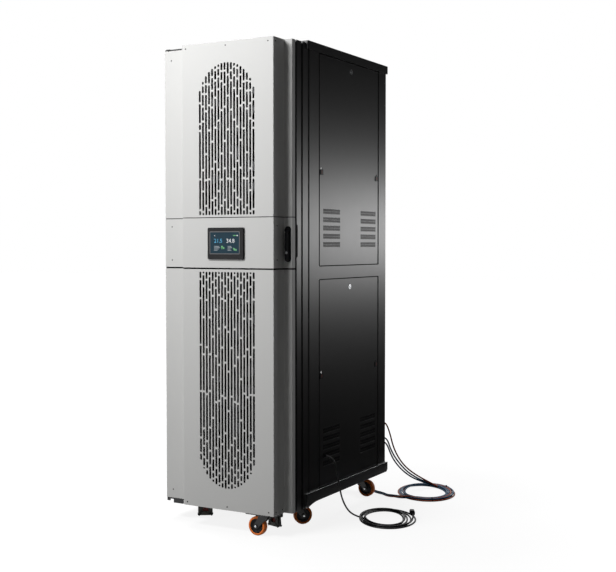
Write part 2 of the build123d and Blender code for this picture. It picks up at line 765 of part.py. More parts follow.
def roof_panel():
    """A folded cap over the frame, notched where the front ring stands up into it."""
    half = door_width / 2 + roof_overhang
    roof = block(-half, half, roof_front, roof_rear, roof_bottom, cabinet_top)
    roof = fillet(roof.edges().filter_by(Axis.Z), 6)
    roof = chamfer(roof.faces().sort_by(Axis.Z)[-1].edges(), 1.5)
    hollow = block(-half + sheet, half - sheet, roof_front + sheet, roof_rear - sheet, roof_bottom - 1,
                   cabinet_top - sheet)
    notch = block(door_left - running_gap, door_right + running_gap, roof_front - 1, roof_front + sheet + 1,
                  roof_bottom - 1, frame_top)
    return roof - hollow - notch


def base_skirt():
    """Two side skirts with a lip along the top and a toe that curves down at the front."""
    toe_y = skirt_front + 8
    outline = [Line((skirt_front, skirt_top), (skirt_front, skirt_toe + 8)),
               Line((skirt_front, skirt_toe + 8), (toe_y, skirt_toe)),
               ThreePointArc((toe_y, skirt_toe), (toe_y + 42, skirt_toe + 11), (toe_y + 82, skirt_base)),
               Line((toe_y + 82, skirt_base), (skirt_rear - 10, skirt_base)),
               Line((skirt_rear - 10, skirt_base), (skirt_rear, skirt_base + 10)),
               Line((skirt_rear, skirt_base + 10), (skirt_rear, skirt_top)),
               Line((skirt_rear, skirt_top), (skirt_front, skirt_top))]
    face = Plane.YZ * make_face(outline)
    right = Pos(door_right, 0, 0) * extrude(face, amount=skirt_overhang, dir=(1, 0, 0))
    hollow = block(door_right - 1, door_right + skirt_overhang - sheet, skirt_front + 12, skirt_rear - 12,
                   skirt_base + 3, skirt_top - 3)
    right -= hollow
    return [right, mirrored(right)]


def side_panel(low, high, louvre_foot, lock, latch_z):
    """A folded side panel with two louvre groups, a lock hole and two latch slots."""
    x1 = door_right
    panel = block(x1 - side_panel_return, x1, side_panel_front, side_panel_rear, low, high)
    panel -= block(x1 - side_panel_return - 1, x1 - sheet, side_panel_front + sheet, side_panel_rear - sheet,
                   low + sheet, high - sheet)
    for row in range(louvre_rows):
        z = louvre_foot + row * louvre_pitch
        for y in (louvre_front, louvre_rear_group):
            panel -= block(x1 - louvre_recess, x1 + 1, y, y + louvre_length, z, z + louvre_height)
    panel -= rod_x(lock_radius + 0.1, x1 - sheet - 1, x1 + 1, *lock)
    slot_half = latch_neck + running_gap
    slot_end = latch_neck_height + running_gap
    for y in latch_places:
        panel -= block(x1 - sheet - 1, x1 + 1, y - slot_half, y + slot_half, latch_z - slot_end,
                       latch_z + slot_end + latch_travel)
    return panel


def panel_lock(y, z):
    """A quarter-turn lock: its face, its barrel and the cam behind the panel."""
    body = rod_x(lock_radius, door_right - 8, door_right, y, z)
    body += rod_x(lock_radius + 2, door_right, door_right + 1.6, y, z)
    body += block(door_right - 8, door_right - 5, y - 5, y + 5, z - 5, z + 20)
    return body - block(door_right + 0.6, door_right + 2, y - 0.8, y + 0.8, z - 4, z + 4)


def panel_latch(y, z):
    """A slide latch: a thumb piece outside, a neck through the panel and a foot inside."""
    foot = door_right - 5
    body = block(door_right + running_gap, door_right + 3, y - latch_half_width, y + latch_half_width,
                 z - latch_half_height, z + latch_half_height)
    body = chamfer(body.faces().sort_by(Axis.X)[-1].edges(), 0.8)
    body += block(foot, door_right + running_gap, y - latch_neck, y + latch_neck, z - latch_neck_height,
                  z + latch_neck_height)
    return body + block(foot, door_right - sheet - running_gap, y - latch_half_width, y + latch_half_width,
                        z - latch_neck_height, z + latch_neck_height)


def rack_rails():
    """Four upright rails for 19 inch equipment, with a square hole at every fourth unit."""
    rails = []
    half = rail_hole / 2
    z0 = frame_bottom + beam_height
    z1 = beam_top - beam_height
    outer = door_right - frame_leg + 2 * sheet
    step = rail_hole_units * rack_unit
    holes = int((z1 - z0 - beam_height) / step)
    for y, back in ((rail_front, 1), (rail_rear, -1)):
        rail = block(rail_hole_x - rail_hole - 0.5, outer, *sorted((y, y + back * sheet)), z0, z1)
        rail += block(outer - sheet, outer, *sorted((y, y + back * rail_leg)), z0, z1)
        for k in range(holes + 1):
            z = (z0 + z1) / 2 + (k - holes / 2) * step
            rail -= block(rail_hole_x - half, rail_hole_x + half, y - 2 * sheet, y + 2 * sheet, z - half,
                          z + half)
        rails += [rail, mirrored(rail)]
    return rails


def place_caster(shape, x, y, heading):
    return Pos(x, y, 0) * Rot(0, 0, heading) * shape


def caster_wheel():
    """Core and tyre of a wheel that trails along +X from a swivel axis at the origin."""
    radius = wheel_diameter / 2
    inner = radius - tyre_thickness
    core = Cylinder(inner, wheel_width - 2) - Cylinder(axle_radius + pin_fit, wheel_width)
    dish = Cylinder(inner - core_rim, 2 * dish_depth) - Cylinder(hub_radius, 2 * dish_depth + 1)
    for side in (-1, 1):
        core -= Pos(0, 0, side * (wheel_width / 2 - 1)) * dish
    core = Rot(90, 0, 0) * core
    tyre = Rot(90, 0, 0) * (Cylinder(radius, wheel_width) - Cylinder(inner, wheel_width + 1))
    tyre = chamfer(tyre.edges().filter_by(GeomType.CIRCLE).sort_by(SortBy.RADIUS)[-2:], 2.5)
    place = Pos(trail, 0, radius)
    return [place * core, place * tyre]


def caster_fork(top):
    """Two cheeks hung from a crown, with the kingpin above and the axle bolt below."""
    crown_bottom = wheel_diameter + 2
    crown_top = crown_bottom + (top - caster_plate_thickness - crown_bottom) / 2 - running_gap / 2
    inner = wheel_width / 2 + fork_gap
    axle_z = wheel_diameter / 2
    eye = Pos(trail, axle_z) * Circle(fork_eye)
    head = Pos(fork_head_shift, crown_bottom - 1) * Rectangle(fork_head, 2)
    cheek = make_hull((eye + head).edges())
    body = rod_z(crown_radius, crown_bottom, crown_top, 0, 0)
    body += block(fork_head_shift - fork_head / 2, fork_head_shift + fork_head / 2, -inner - fork_sheet,
                  inner + fork_sheet, crown_bottom, crown_top)
    for side in (-1, 1):
        start = side * inner if side > 0 else side * inner - fork_sheet
        plate = extrude(Plane(origin=(0, start, 0), x_dir=(1, 0, 0), z_dir=(0, -1, 0)) * cheek,
                        amount=-fork_sheet)
        body += plate
    body += rod_z(kingpin_radius, crown_top - 1, top - 1.5, 0, 0)
    reach = inner + fork_sheet
    body += rod_y(axle_radius, -reach - 2, reach + 2, trail, axle_z)
    body += Pos(trail, -reach - 4.5, axle_z) * Rot(90, 0, 0) * extrude(RegularPolygon(7, 6), 2.5, both=True)
    body += rod_y(6.5, reach, reach + 4, trail, axle_z)
    return body


def caster_plate(top):
    """The fixed plate and race ring that a fork turns under."""
    crown_bottom = wheel_diameter + 2
    race_bottom = crown_bottom + (top - caster_plate_thickness - crown_bottom) / 2 + running_gap / 2
    half = caster_plate_size / 2
    plate = block(-half, half, -half, half, top - caster_plate_thickness, top)
    plate = fillet(plate.edges().filter_by(Axis.Z), 8)
    plate += rod_z(race_radius, race_bottom, top - caster_plate_thickness, 0, 0)
    return plate - rod_z(kingpin_radius + pin_fit, race_bottom - 1, top - 1, 0, 0)


def pedal_hinge():
    """A tongue with two lugs that carries the brake pedal, along +X of the swivel axis."""
    low = frame_bottom - caster_plate_thickness
    inner = pedal_arm + 1
    outer = inner + pedal_sheet
    tongue = block(20, pedal_pivot + 6, -outer, outer, low, frame_bottom)
    for side in (-1, 1):
        lug = sorted((side * inner, side * outer))
        tongue += block(pedal_pivot - 5, pedal_pivot + 5, *lug, pedal_pivot_z - 5, low)
    return tongue + rod_y(pedal_pin, -inner, inner, pedal_pivot, pedal_pivot_z)


def brake_pedal():
    """A bent lever with an open frame at its foot."""
    path = FilletPolyline((pedal_pivot + 3, pedal_pivot_z), (pedal_reach - 16, pedal_pivot_z - 1),
                          (pedal_reach - 6, pedal_shoulder - 4), (pedal_reach, pedal_foot), radius=[6, 20])
    pedal = extrude(Plane.XZ * trace(path, line_width=pedal_sheet), amount=pedal_half_width, both=True)
    for side in (-1, 1):
        outside = sorted((side * pedal_arm, side * (pedal_half_width + 1)))
        pedal -= block(0, 2 * pedal_reach, *outside, pedal_shoulder, frame_bottom + 20)
    pedal -= block(pedal_reach - 24, pedal_reach + 16, -2 * pedal_arm, 2 * pedal_arm, pedal_foot + 8,
                   pedal_shoulder - 10)
    pedal += rod_y(pedal_eye, -pedal_arm - 0.5, pedal_arm + 0.5, pedal_pivot, pedal_pivot_z)
    return pedal - rod_y(pedal_pin + pin_fit, -pedal_arm - 2, pedal_arm + 2, pedal_pivot, pedal_pivot_z)


def corner_radii(points):
    """Arc radii that a cord's corners allow."""
    radii = []
    for a, b, c in zip(points, points[1:], points[2:]):
        before = Vector(*b) - Vector(*a)
        after = Vector(*c) - Vector(*b)
        turn = radians(before.get_angle(after))
        radii.append(0.45 * min(before.length, after.length) / tan(turn / 2))
    return radii


def cord_tube(points, radius):
    """A round cord along straight runs joined by tangent arcs."""
    path = FilletPolyline(*points, radius=corner_radii(points))
    start = Plane(origin=path @ 0, z_dir=path % 0)
    tube = sweep(start * Circle(radius), path=path)
    expected = pi * radius ** 2 * path.length
    print("cord length", round(path.length), "volume ratio", round(tube.volume / expected, 4))
    return tube


def coil_ring(centre, halves, height):
    """The closed outer shape of an oval coil that lies on the floor."""
    outer = Ellipse(*halves)
    inner = Ellipse(halves[0] - coil_bundle, halves[1] - coil_bundle)
    body = extrude(outer - inner, amount=height)
    body = chamfer(body.faces().sort_by(Axis.Z)[-1].edges(), 3)
    return Pos(*centre, 0.5) * Rot(0, 0, coil_turn) * body


def route(start, steps):
    """A cord's route from its start, with each height a share of the start's height."""
    return [start] + [(start[0] + dx, start[1] + dy, start[2] * share) for dx, dy, share in steps]


def casters():
    places = {"fr": (caster_x, front_caster_y), "fl": (-caster_x, front_caster_y),
              "rr": (caster_x, rear_caster_y), "rl": (-caster_x, rear_caster_y)}
    plates = []
    for key, (x, y) in places.items():
        heading = front_headings[key]
        nodes["caster_fork_" + key] = place_caster(caster_fork(frame_bottom), x, y, heading)
        nodes["caster_wheel_" + key] = [place_caster(piece, x, y, heading)
                                        for piece in caster_wheel()]
        plate = Pos(x, y, 0) * caster_plate(frame_bottom)
        if key in pedal_headings:
            plate += place_caster(pedal_hinge(), x, y, pedal_headings[key])
            nodes["brake_pedal_" + key] = place_caster(brake_pedal(), x, y, pedal_headings[key])
        plates.append(plate)
    nodes["caster_plates"] = plates
    heading = 180.0
    nodes["door_caster_fork"] = place_caster(caster_fork(door_bottom), door_caster_x, door_caster_y, heading)
    nodes["door_caster_wheel"] = [place_caster(piece, door_caster_x, door_caster_y, heading)
                                  for piece in caster_wheel()]
    bracket = Pos(door_caster_x, door_caster_y, 0) * caster_plate(door_bottom)
    bracket += block(box_right - door_bracket_length, box_right, sheet, door_bracket_depth,
                     door_bottom - caster_plate_thickness, door_bottom)
    bracket -= rod_z(kingpin_radius + pin_fit, door_bottom - 2 * kingpin_radius, door_bottom - 1,
                     door_caster_x, door_caster_y)
    nodes["door_caster_bracket"] = bracket


def cabinet():
    nodes["cabinet_frame"] = cabinet_frame()
    nodes["adapter_frame"] = adapter_frame()
    nodes["roof_panel"] = roof_panel()
    nodes["base_skirt"] = base_skirt()
    nodes["rack_rails"] = rack_rails()
    nodes["hinge_brackets"] = hinge_brackets()
    upper = side_panel(upper_panel_foot, upper_panel_head, upper_louvre_foot, upper_lock, upper_latch_z)
    lower = side_panel(lower_panel_foot, lower_panel_head, lower_louvre_foot, lower_lock, lower_latch_z)
    hole = rod_x(gland_radius, door_right - 4, door_right + 1, gland_y, gland_z)
    nodes["right_upper_panel"] = upper
    nodes["right_lower_panel"] = lower - hole
    nodes["left_upper_panel"] = mirrored(upper)
    nodes["left_lower_panel"] = mirrored(lower)
    for level, lock, latch_z in (("u", upper_lock, upper_latch_z), ("l", lower_lock, lower_latch_z)):
        body = panel_lock(*lock)
        latches = [panel_latch(y, latch_z) for y in latch_places]
        nodes["panel_lock_r" + level] = body
        nodes["panel_lock_l" + level] = mirrored(body)
        nodes["panel_latches_r" + level] = latches
        nodes["panel_latches_l" + level] = [mirrored(latch) for latch in latches]


def cord_gland():
    body = rod_x(gland_radius, door_right - 6, door_right, gland_y, gland_z)
    body += rod_x(gland_flange, door_right - louvre_recess, door_right + 4, gland_y, gland_z)
    return body + rod_x(gland_radius + 0.5, door_right + 4, door_right + gland_reach, gland_y, gland_z)


def strand_glands():
    bodies = []
    for z in strand_gland_zs:
        body = rod_y(gland_flange, rear_post_rear, rear_post_rear + 3, strand_gland_x, z)
        bodies.append(body + rod_y(gland_radius, rear_post_rear + 3, skirt_rear, strand_gland_x, z))
    return bodies


def power_plug():
    """The plug on the cord's end, lying on the coil."""
    body = Box(30, 20, 20)
    body = fillet(body.edges().filter_by(Axis.X), 6)
    pins = [Pos(24, y, 0) * Box(20, 2, 6) for y in (-5, 5)]
    tail = Pos(-21, 0, 0) * Rot(0, 90, 0) * Cone(7, 4.5, 14)
    dx, dy, z = plug_offset
    spot = Pos(power_coil_centre[0] + dx, power_coil_centre[1] + dy, z)
    return spot * Rot(0, 0, plug_turn) * (body + pins[0] + pins[1] + tail)


def cords():
    gland = (door_right + gland_reach, gland_y, gland_z)
    starts = [(strand_gland_x, skirt_rear, z) for z in strand_gland_zs]
    tail = [(strand_coil_centre[0] + dx, strand_coil_centre[1] + dy, z) for dx, dy, z in tail_route]
    nodes["cable_glands"] = [cord_gland()] + strand_glands()
    nodes["power_cord"] = cord_tube(route(gland, power_steps), cord_radius)
    nodes["orange_strand"] = cord_tube(route(starts[0], orange_steps), strand_radius)
    nodes["blue_strand_a"] = cord_tube(route(starts[1], blue_steps_a), strand_radius)
    nodes["blue_strand_b"] = cord_tube(route(starts[2], blue_steps_b), strand_radius)
    nodes["strand_tail"] = cord_tube(tail, bundle_radius)
    nodes["power_cord_coil"] = coil_ring(power_coil_centre, power_coil_halves, power_coil_height)
    nodes["strand_coil"] = coil_ring(strand_coil_centre, strand_coil_halves, strand_coil_height)
    nodes["power_plug"] = power_plug()


def door():
    nodes["door_tray"] = door_tray()
    nodes["upper_grille_panel"] = upper_grille_panel()
    nodes["display_panel"] = display_panel()
    nodes["lower_grille_panel"] = lower_grille_panel()
    nodes["door_gasket"] = door_gasket()
    nodes["coil_fins"] = coil_fins()
    nodes["coil_circuit"] = coil_circuit()
    nodes["fan_plate"] = fan_plate()
    for number, z in enumerate(fan_centres(), 1):
        nodes["fan_rotor_" + str(number)] = fan_rotor(z)
    nodes["display_bezel"] = display_bezel()
    nodes["display_screen"] = screen_block()
    nodes["handle_dish"] = handle_dish()
    nodes["handle_spindle"] = handle_spindle()
    nodes["swing_lever"] = swing_lever()
    nodes["key_plug"] = key_plug()


door()
cabinet()
casters()
cords()
os.makedirs("parts", exist_ok=True)
for name, shape in nodes.items():
    solids = []
    for piece in shape if isinstance(shape, list) else [shape]:
        solids += piece.solids()
    moved = [Pos(0, centre_shift, 0) * solid for solid in solids]
    whole = moved[0] if len(moved) == 1 else Compound(children=moved)
    export_step(whole, "parts/" + name + ".step")
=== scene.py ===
import json
import math

import bmesh
import bpy
from mathutils import Matrix, Vector


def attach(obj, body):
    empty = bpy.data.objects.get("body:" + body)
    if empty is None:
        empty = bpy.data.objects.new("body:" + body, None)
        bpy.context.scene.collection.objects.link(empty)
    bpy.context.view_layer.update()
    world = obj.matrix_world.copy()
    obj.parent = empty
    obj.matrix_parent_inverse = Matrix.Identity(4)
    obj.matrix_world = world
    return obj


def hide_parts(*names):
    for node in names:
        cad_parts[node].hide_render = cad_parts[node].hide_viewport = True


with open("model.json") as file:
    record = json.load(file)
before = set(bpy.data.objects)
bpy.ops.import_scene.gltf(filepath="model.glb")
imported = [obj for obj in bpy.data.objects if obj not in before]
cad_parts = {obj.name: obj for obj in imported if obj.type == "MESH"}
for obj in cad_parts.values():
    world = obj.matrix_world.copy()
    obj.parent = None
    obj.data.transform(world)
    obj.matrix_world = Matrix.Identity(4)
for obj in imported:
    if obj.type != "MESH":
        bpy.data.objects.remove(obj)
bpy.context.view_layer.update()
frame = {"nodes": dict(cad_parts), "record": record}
faceY = -0.458


# Places are given as x, depth behind the raised face of the door, and height, in millimetres
def place(x, depth, z):
    return Vector((x / 1000, depth / 1000 + faceY, z / 1000))


view = {"spot": (2.4072, -4.0433, 1.1244), "yaw": 29.10, "pitch": 2.11, "lens": 64.37}
cameraData = bpy.data.cameras.new("camera")
cameraData.lens = view["lens"]
camera = bpy.data.objects.new("camera", cameraData)
camera.location = view["spot"]
camera.rotation_euler = (math.radians(90 - view["pitch"]), 0, math.radians(view["yaw"]))
bpy.context.collection.objects.link(camera)
bpy.context.scene.camera = camera


# Finishes: each has a broad tone, patches of more and less gloss, and a fine grain
texture = {"broadScale": 3.1, "broadDetail": 4, "patchScale": 21, "patchDetail": 3, "grainDetail": 2,
           "middle": 0.5, "strength": 0.6}


def surfaceGroup():
    group = bpy.data.node_groups.new("grainedSurface", "ShaderNodeTree")
    face = group.interface
    face.new_socket("Vector", in_out="INPUT", socket_type="NodeSocketVector")
    face.new_socket("Color", in_out="INPUT", socket_type="NodeSocketColor")
    for name in ("Tone", "Roughness", "Spread", "Grain Scale", "Grain Height"):
        face.new_socket(name, in_out="INPUT", socket_type="NodeSocketFloat")
    face.new_socket("Color", in_out="OUTPUT", socket_type="NodeSocketColor")
    face.new_socket("Roughness", in_out="OUTPUT", socket_type="NodeSocketFloat")
    face.new_socket("Normal", in_out="OUTPUT", socket_type="NodeSocketVector")
    nodes, links = group.nodes, group.links
    given = nodes.new("NodeGroupInput")
    made = nodes.new("NodeGroupOutput")
    broad = nodes.new("ShaderNodeTexNoise")
    broad.inputs["Scale"].default_value = texture["broadScale"]
    broad.inputs["Detail"].default_value = texture["broadDetail"]
    links.new(given.outputs["Vector"], broad.inputs["Vector"])
    centred = nodes.new("ShaderNodeMath")
    centred.operation = "SUBTRACT"
    centred.inputs[1].default_value = texture["middle"]
    links.new(broad.outputs["Fac"], centred.inputs[0])
    toned = nodes.new("ShaderNodeMath")
    toned.operation = "MULTIPLY_ADD"
    toned.inputs[2].default_value = 1.0
    links.new(centred.outputs[0], toned.inputs[0])
    links.new(given.outputs["Tone"], toned.inputs[1])
    tint = nodes.new("ShaderNodeVectorMath")
    tint.operation = "SCALE"
    links.new(given.outputs["Color"], tint.inputs[0])
    links.new(toned.outputs[0], tint.inputs["Scale"])
    links.new(tint.outputs[0], made.inputs["Color"])
    patches = nodes.new("ShaderNodeTexNoise")
    patches.inputs["Scale"].default_value = texture["patchScale"]
    patches.inputs["Detail"].default_value = texture["patchDetail"]
    links.new(given.outputs["Vector"], patches.inputs["Vector"])
    rougher = nodes.new("ShaderNodeMath")
    rougher.operation = "SUBTRACT"
    rougher.inputs[1].default_value = texture["middle"]
    links.new(patches.outputs["Fac"], rougher.inputs[0])
    spread = nodes.new("ShaderNodeMath")
    spread.operation = "MULTIPLY_ADD"
    links.new(rougher.outputs[0], spread.inputs[0])
    links.new(given.outputs["Spread"], spread.inputs[1])
    links.new(given.outputs["Roughness"], spread.inputs[2])
    links.new(spread.outputs[0], made.inputs["Roughness"])
    grain = nodes.new("ShaderNodeTexNoise")
    grain.inputs["Detail"].default_value = texture["grainDetail"]
    links.new(given.outputs["Vector"], grain.inputs["Vector"])
    links.new(given.outputs["Grain Scale"], grain.inputs["Scale"])
    bump = nodes.new("ShaderNodeBump")
    bump.inputs["Strength"].default_value = texture["strength"]
    links.new(grain.outputs["Fac"], bump.inputs["Height"])
    links.new(given.outputs["Grain Height"], bump.inputs["Distance"])
    links.new(bump.outputs["Normal"], made.inputs["Normal"])
    return group


grained = surfaceGroup()


def finish(name, color, rough, metallic=0.0, tone=0.12, spread=0.12, scale=900, height=0.00006,
           stretch=(1, 1, 1), coat=0.0, specular=0.5):
    material = bpy.data.materials.new(name)
    material.use_nodes = True
    nodes, links = material.node_tree.nodes, material.node_tree.links
    nodes.clear()
    where = nodes.new("ShaderNodeTexCoord")
    mapping = nodes.new("ShaderNodeMapping")
    mapping.inputs["Scale"].default_value = stretch
    links.new(where.outputs["Object"], mapping.inputs["Vector"])
    surface = nodes.new("ShaderNodeGroup")
    surface.node_tree = grained
    links.new(mapping.outputs["Vector"], surface.inputs["Vector"])
    surface.inputs["Color"].default_value = (*color, 1)
    surface.inputs["Tone"].default_value = tone
    surface.inputs["Roughness"].default_value = rough
    surface.inputs["Spread"].default_value = spread
    surface.inputs["Grain Scale"].default_value = scale
    surface.inputs["Grain Height"].default_value = height
    shader = nodes.new("ShaderNodeBsdfPrincipled")
    shader.inputs["Metallic"].default_value = metallic
    shader.inputs["Coat Weight"].default_value = coat
    shader.inputs["Specular IOR Level"].default_value = specular
    links.new(surface.outputs["Color"], shader.inputs["Base Color"])
    links.new(surface.outputs["Roughness"], shader.inputs["Roughness"])
    links.new(surface.outputs["Normal"], shader.inputs["Normal"])
    output = nodes.new("ShaderNodeOutputMaterial")
    links.new(shader.outputs["BSDF"], output.inputs["Surface"])
    return material


finishes = {
    "door_paint": finish("door_paint", (0.60, 0.60, 0.59), 0.5, tone=0.03, spread=0.04, scale=1400,
                         height=0.00004, specular=0.35),
    "frame_black": finish("frame_black", (0.0035, 0.0035, 0.004), 0.335, tone=0.1, spread=0.03, scale=1600,
                          height=0.00001, specular=0.42),
    "zinc": finish("zinc", (0.42, 0.43, 0.44), 0.34, metallic=1.0, scale=400, stretch=(1, 1, 6)),
    "steel": finish("steel", (0.50, 0.51, 0.52), 0.26, metallic=1.0, scale=600, height=0.00002),
    # The coil fins are dark grey as painted shade, for the shade inside the door behind the fans
    "aluminium_fins": finish("aluminium_fins", (0.17, 0.175, 0.18), 0.6, metallic=0.7, stretch=(1, 1, 0.1)),
    "copper_tube": finish("copper_tube", (0.62, 0.27, 0.13), 0.3, metallic=1.0, tone=0.25, scale=200),
    "rubber_black": finish("rubber_black", (0.004, 0.004, 0.004), 0.8, scale=700, height=0.0001,
                           specular=0.08),
    "orange_tread": finish("orange_tread", (0.95, 0.235, 0.045), 0.5, tone=0.2, scale=500, height=0.00005,
                           specular=0.2),
    "plastic_black": finish("plastic_black", (0.007, 0.007, 0.008), 0.42, scale=1200, height=0.00002,
                            specular=0.12),
    "plastic_grey": finish("plastic_grey", (0.050, 0.052, 0.046), 0.5, scale=900, height=0.00005,
                           specular=0.2),
    "screen_glass": finish("screen_glass", (0.016, 0.041, 0.060), 0.35, tone=0.5, scale=300,
                           height=0.000004, specular=0.04),
    "latch_red": finish("latch_red", (0.11, 0.010, 0.007), 0.45, scale=900, height=0.00002, specular=0.2),
    "sleeve_black": finish("sleeve_black", (0.006, 0.006, 0.007), 0.34, scale=800, height=0.00004,
                           specular=0.3),
    "sleeve_orange": finish("sleeve_orange", (0.32, 0.060, 0.018), 0.42, tone=0.3, scale=800,
                            height=0.0001, specular=0.25),
    "sleeve_blue": finish("sleeve_blue", (0.010, 0.065, 0.135), 0.42, tone=0.3, scale=800, height=0.0001,
                          specular=0.25),
    # inner_black is painted shade: a near-black matte for the parts inside the door, for the shade seen through
    # the grille
    "inner_black": finish("inner_black", (0.003, 0.003, 0.003), 0.85, scale=500, height=0.00005,
                          specular=0.05),
}
screenFinishes = {
    "white": finish("screen_white", (0.80, 0.83, 0.85), 0.4, tone=0.05, scale=600, height=0.00001),
    "blue": finish("screen_blue", (0.03, 0.36, 0.62), 0.4, tone=0.1, scale=600, height=0.00001),
    "grey": finish("screen_grey", (0.24, 0.28, 0.31), 0.4, tone=0.2, scale=600, height=0.00001),
    "green": finish("screen_green", (0.07, 0.36, 0.11), 0.4, tone=0.2, scale=600, height=0.00001),
    "rim": finish("screen_rim", (0.15, 0.15, 0.155), 0.5, tone=0.05, scale=600, height=0.00001,
                  specular=0.1),
}
# These nodes are darker in the photo than their slots in the record say. The fan plate, door tray and fan rotors
# inside the door get inner_black as painted shade of the door's inside
darkNodes = {
    "frame_black": ("door_caster_bracket", "caster_plates"),
    "plastic_black": ("handle_spindle",),
    "inner_black": ("fan_plate", "door_tray", "fan_rotor_1", "fan_rotor_2", "fan_rotor_3", "fan_rotor_4",
                    "fan_rotor_5"),
}
for part in frame["record"]["subparts"]:
    frame["nodes"][part["node"]].data.materials[0] = finishes[part["material_slot"]]
for finishName, nodeNames in darkNodes.items():
    for nodeName in nodeNames:
        frame["nodes"][nodeName].data.materials[0] = finishes[finishName]
print("finishes")


def meshPiece(name, bm, finishName, body, material=None):
    bmesh.ops.recalc_face_normals(bm, faces=bm.faces)
    mesh = bpy.data.meshes.new(name)
    bm.to_mesh(mesh)
    bm.free()
    mesh.materials.append(material or finishes[finishName])
    piece = bpy.data.objects.new(name, mesh)
    bpy.context.collection.objects.link(piece)
    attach(piece, body)
    return piece


# Cords
leadDiameter = 0.007


def cordCurve(name, points, finishName):
    curve = bpy.data.curves.new(name, "CURVE")
    curve.dimensions = "3D"
    curve.bevel_depth = leadDiameter / 2
    curve.bevel_resolution = 3
    curve.resolution_u = 5
    curve.use_fill_caps = True
    spline = curve.splines.new("NURBS")
    spline.points.add(len(points) - 1)
    for knot, spot in zip(spline.points, points):
        knot.co = (*spot, 1)
    spline.order_u = 3
    spline.use_endpoint_u = True
    curve.materials.append(finishes[finishName])
    cord = bpy.data.objects.new(name, curve)
    bpy.context.collection.objects.link(cord)
    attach(cord, "root")
    return cord


def coilPoint(coil, angle, outward, height):
    t = math.radians(angle)
    turn = math.radians(coil["turn"])
    u = (coil["halves"][0] + outward) * math.cos(t)
    v = (coil["halves"][1] + outward) * math.sin(t)
    x = coil["centre"][0] + u * math.cos(turn) - v * math.sin(turn)
    y = coil["centre"][1] + u * math.sin(turn) + v * math.cos(turn)
    return place(x, y, height)


# A turn holds its lane, then slides over to the following one; small swings keep the turns apart
lay = {"step": 15, "hold": 0.62, "slide": 0.38, "swings": ((1.4, 5.3, 1), (0.8, 11.9, 2))}


def coilTurns(coil, lanes, phase):
    points = []
    start, sweep = coil["start"], coil["sweep"]
    count = int(abs(sweep) / lay["step"])
    for i in range(count + 1):
        angle = start + sweep * i / count
        turned = abs(angle - start) / 360
        lane = min(int(turned), len(lanes) - 1)
        following = min(lane + 1, len(lanes) - 1)
        blend = min(max((turned - int(turned) - lay["hold"]) / lay["slide"], 0), 1)
        blend = blend * blend * (3 - 2 * blend)
        outward = lanes[lane][0] * (1 - blend) + lanes[following][0] * blend
        height = lanes[lane][1] * (1 - blend) + lanes[following][1] * blend
        openSide = max(math.cos(math.radians(angle - coil["fanAt"])), 0) ** 2
        outward *= 1 + coil["fan"] * openSide
        outward += sum(far * math.sin(rate * turned + times * phase) for far, rate, times in lay["swings"])
        points.append(coilPoint(coil, angle, outward, height))
    return points


def lineLength(points):
    return sum((b - a).length for a, b in zip(points, points[1:]))


powerCoil = {"centre": (508, 490), "halves": (105, 153), "turn": 29, "fan": 0.75, "fanAt": -10,
             "start": 184, "sweep": 1945, "phase": 0.4}
powerLanes = [(-21, 4.2), (-12, 4.4), (7.5, 4.2), (-2.5, 4.3), (-16.5, 11.2), (3, 11.4), (-8, 12.4)]
powerRoute = [(310, 336, 271), (331, 341, 266), (342, 348, 246), (345, 357, 216), (344, 372, 180),
              (342, 390, 138), (345, 406, 85), (355, 431, 38), (377, 445, 13)]
plugRoute = [(627, 486, 19), (619.6, 505.5, 27), (613.5, 516.5, 29.6), (611, 521, 29.6)]
powerPoints = [place(*p) for p in powerRoute]
powerPoints += coilTurns(powerCoil, powerLanes, powerCoil["phase"])
powerPoints += [place(*p) for p in plugRoute]
powerCord = cordCurve("powerCord", powerPoints, "sleeve_black")
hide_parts("power_cord", "power_cord_coil")
print("power cord", round(lineLength(powerPoints), 3))

strandCoil = {"centre": (461, 1010), "halves": (118, 161), "turn": 29, "fan": 0.25, "fanAt": 0,
              "start": 40, "sweep": -881}
tailRoute = [(440, 862, 10.5), (406, 856, 9), (373, 854, 8.5), (340, 860, 8.5), (308, 876, 8.5),
             (276, 896, 8.5), (238, 912, 9), (200, 915, 13), (172, 905, 32), (160, 898, 66), (156, 895, 100)]
tailTwist = {"radius": 0.0041, "step": 55}
strands = {
    "orangeStrand": {
        "node": "orange_strand", "finish": "sleeve_orange", "length": 3.0, "roll": 90,
        "lanes": [(-15, 4.2), (9, 4.2), (-4, 11.6)],
        "route": [(286, 924, 322), (288, 948, 317), (294, 960, 296), (303, 967, 262), (313, 974, 212),
                  (326, 988, 168), (346, 1013, 122), (370, 1045, 86), (398, 1084, 55),
                  (424, 1113, 33), (452, 1130, 16)],
    },
    "blueStrandA": {
        "node": "blue_strand_a", "finish": "sleeve_blue", "length": 2.9, "roll": 210,
        "lanes": [(1, 4.2), (-22, 4.4), (4.5, 11.6)],
        "route": [(286, 924, 254), (288, 948, 249), (296, 961, 229), (305, 965, 198), (321, 980, 156),
                  (341, 1006, 116), (362, 1035, 81), (394, 1082, 46),
                  (424, 1116, 26), (457, 1140, 11)],
    },
    "blueStrandB": {
        "node": "blue_strand_b", "finish": "sleeve_blue", "length": 2.8, "roll": 330,
        "lanes": [(-7, 4.3), (-11.5, 11.2), (-19, 11.6)],
        "route": [(286, 924, 234), (287, 947, 228), (294, 960, 209), (303, 966, 180), (314, 979, 146),
                  (330, 1002, 111), (349, 1030, 80), (372, 1062, 53), (397, 1093, 35),
                  (424, 1118, 20), (454, 1136, 9)],
    },
}
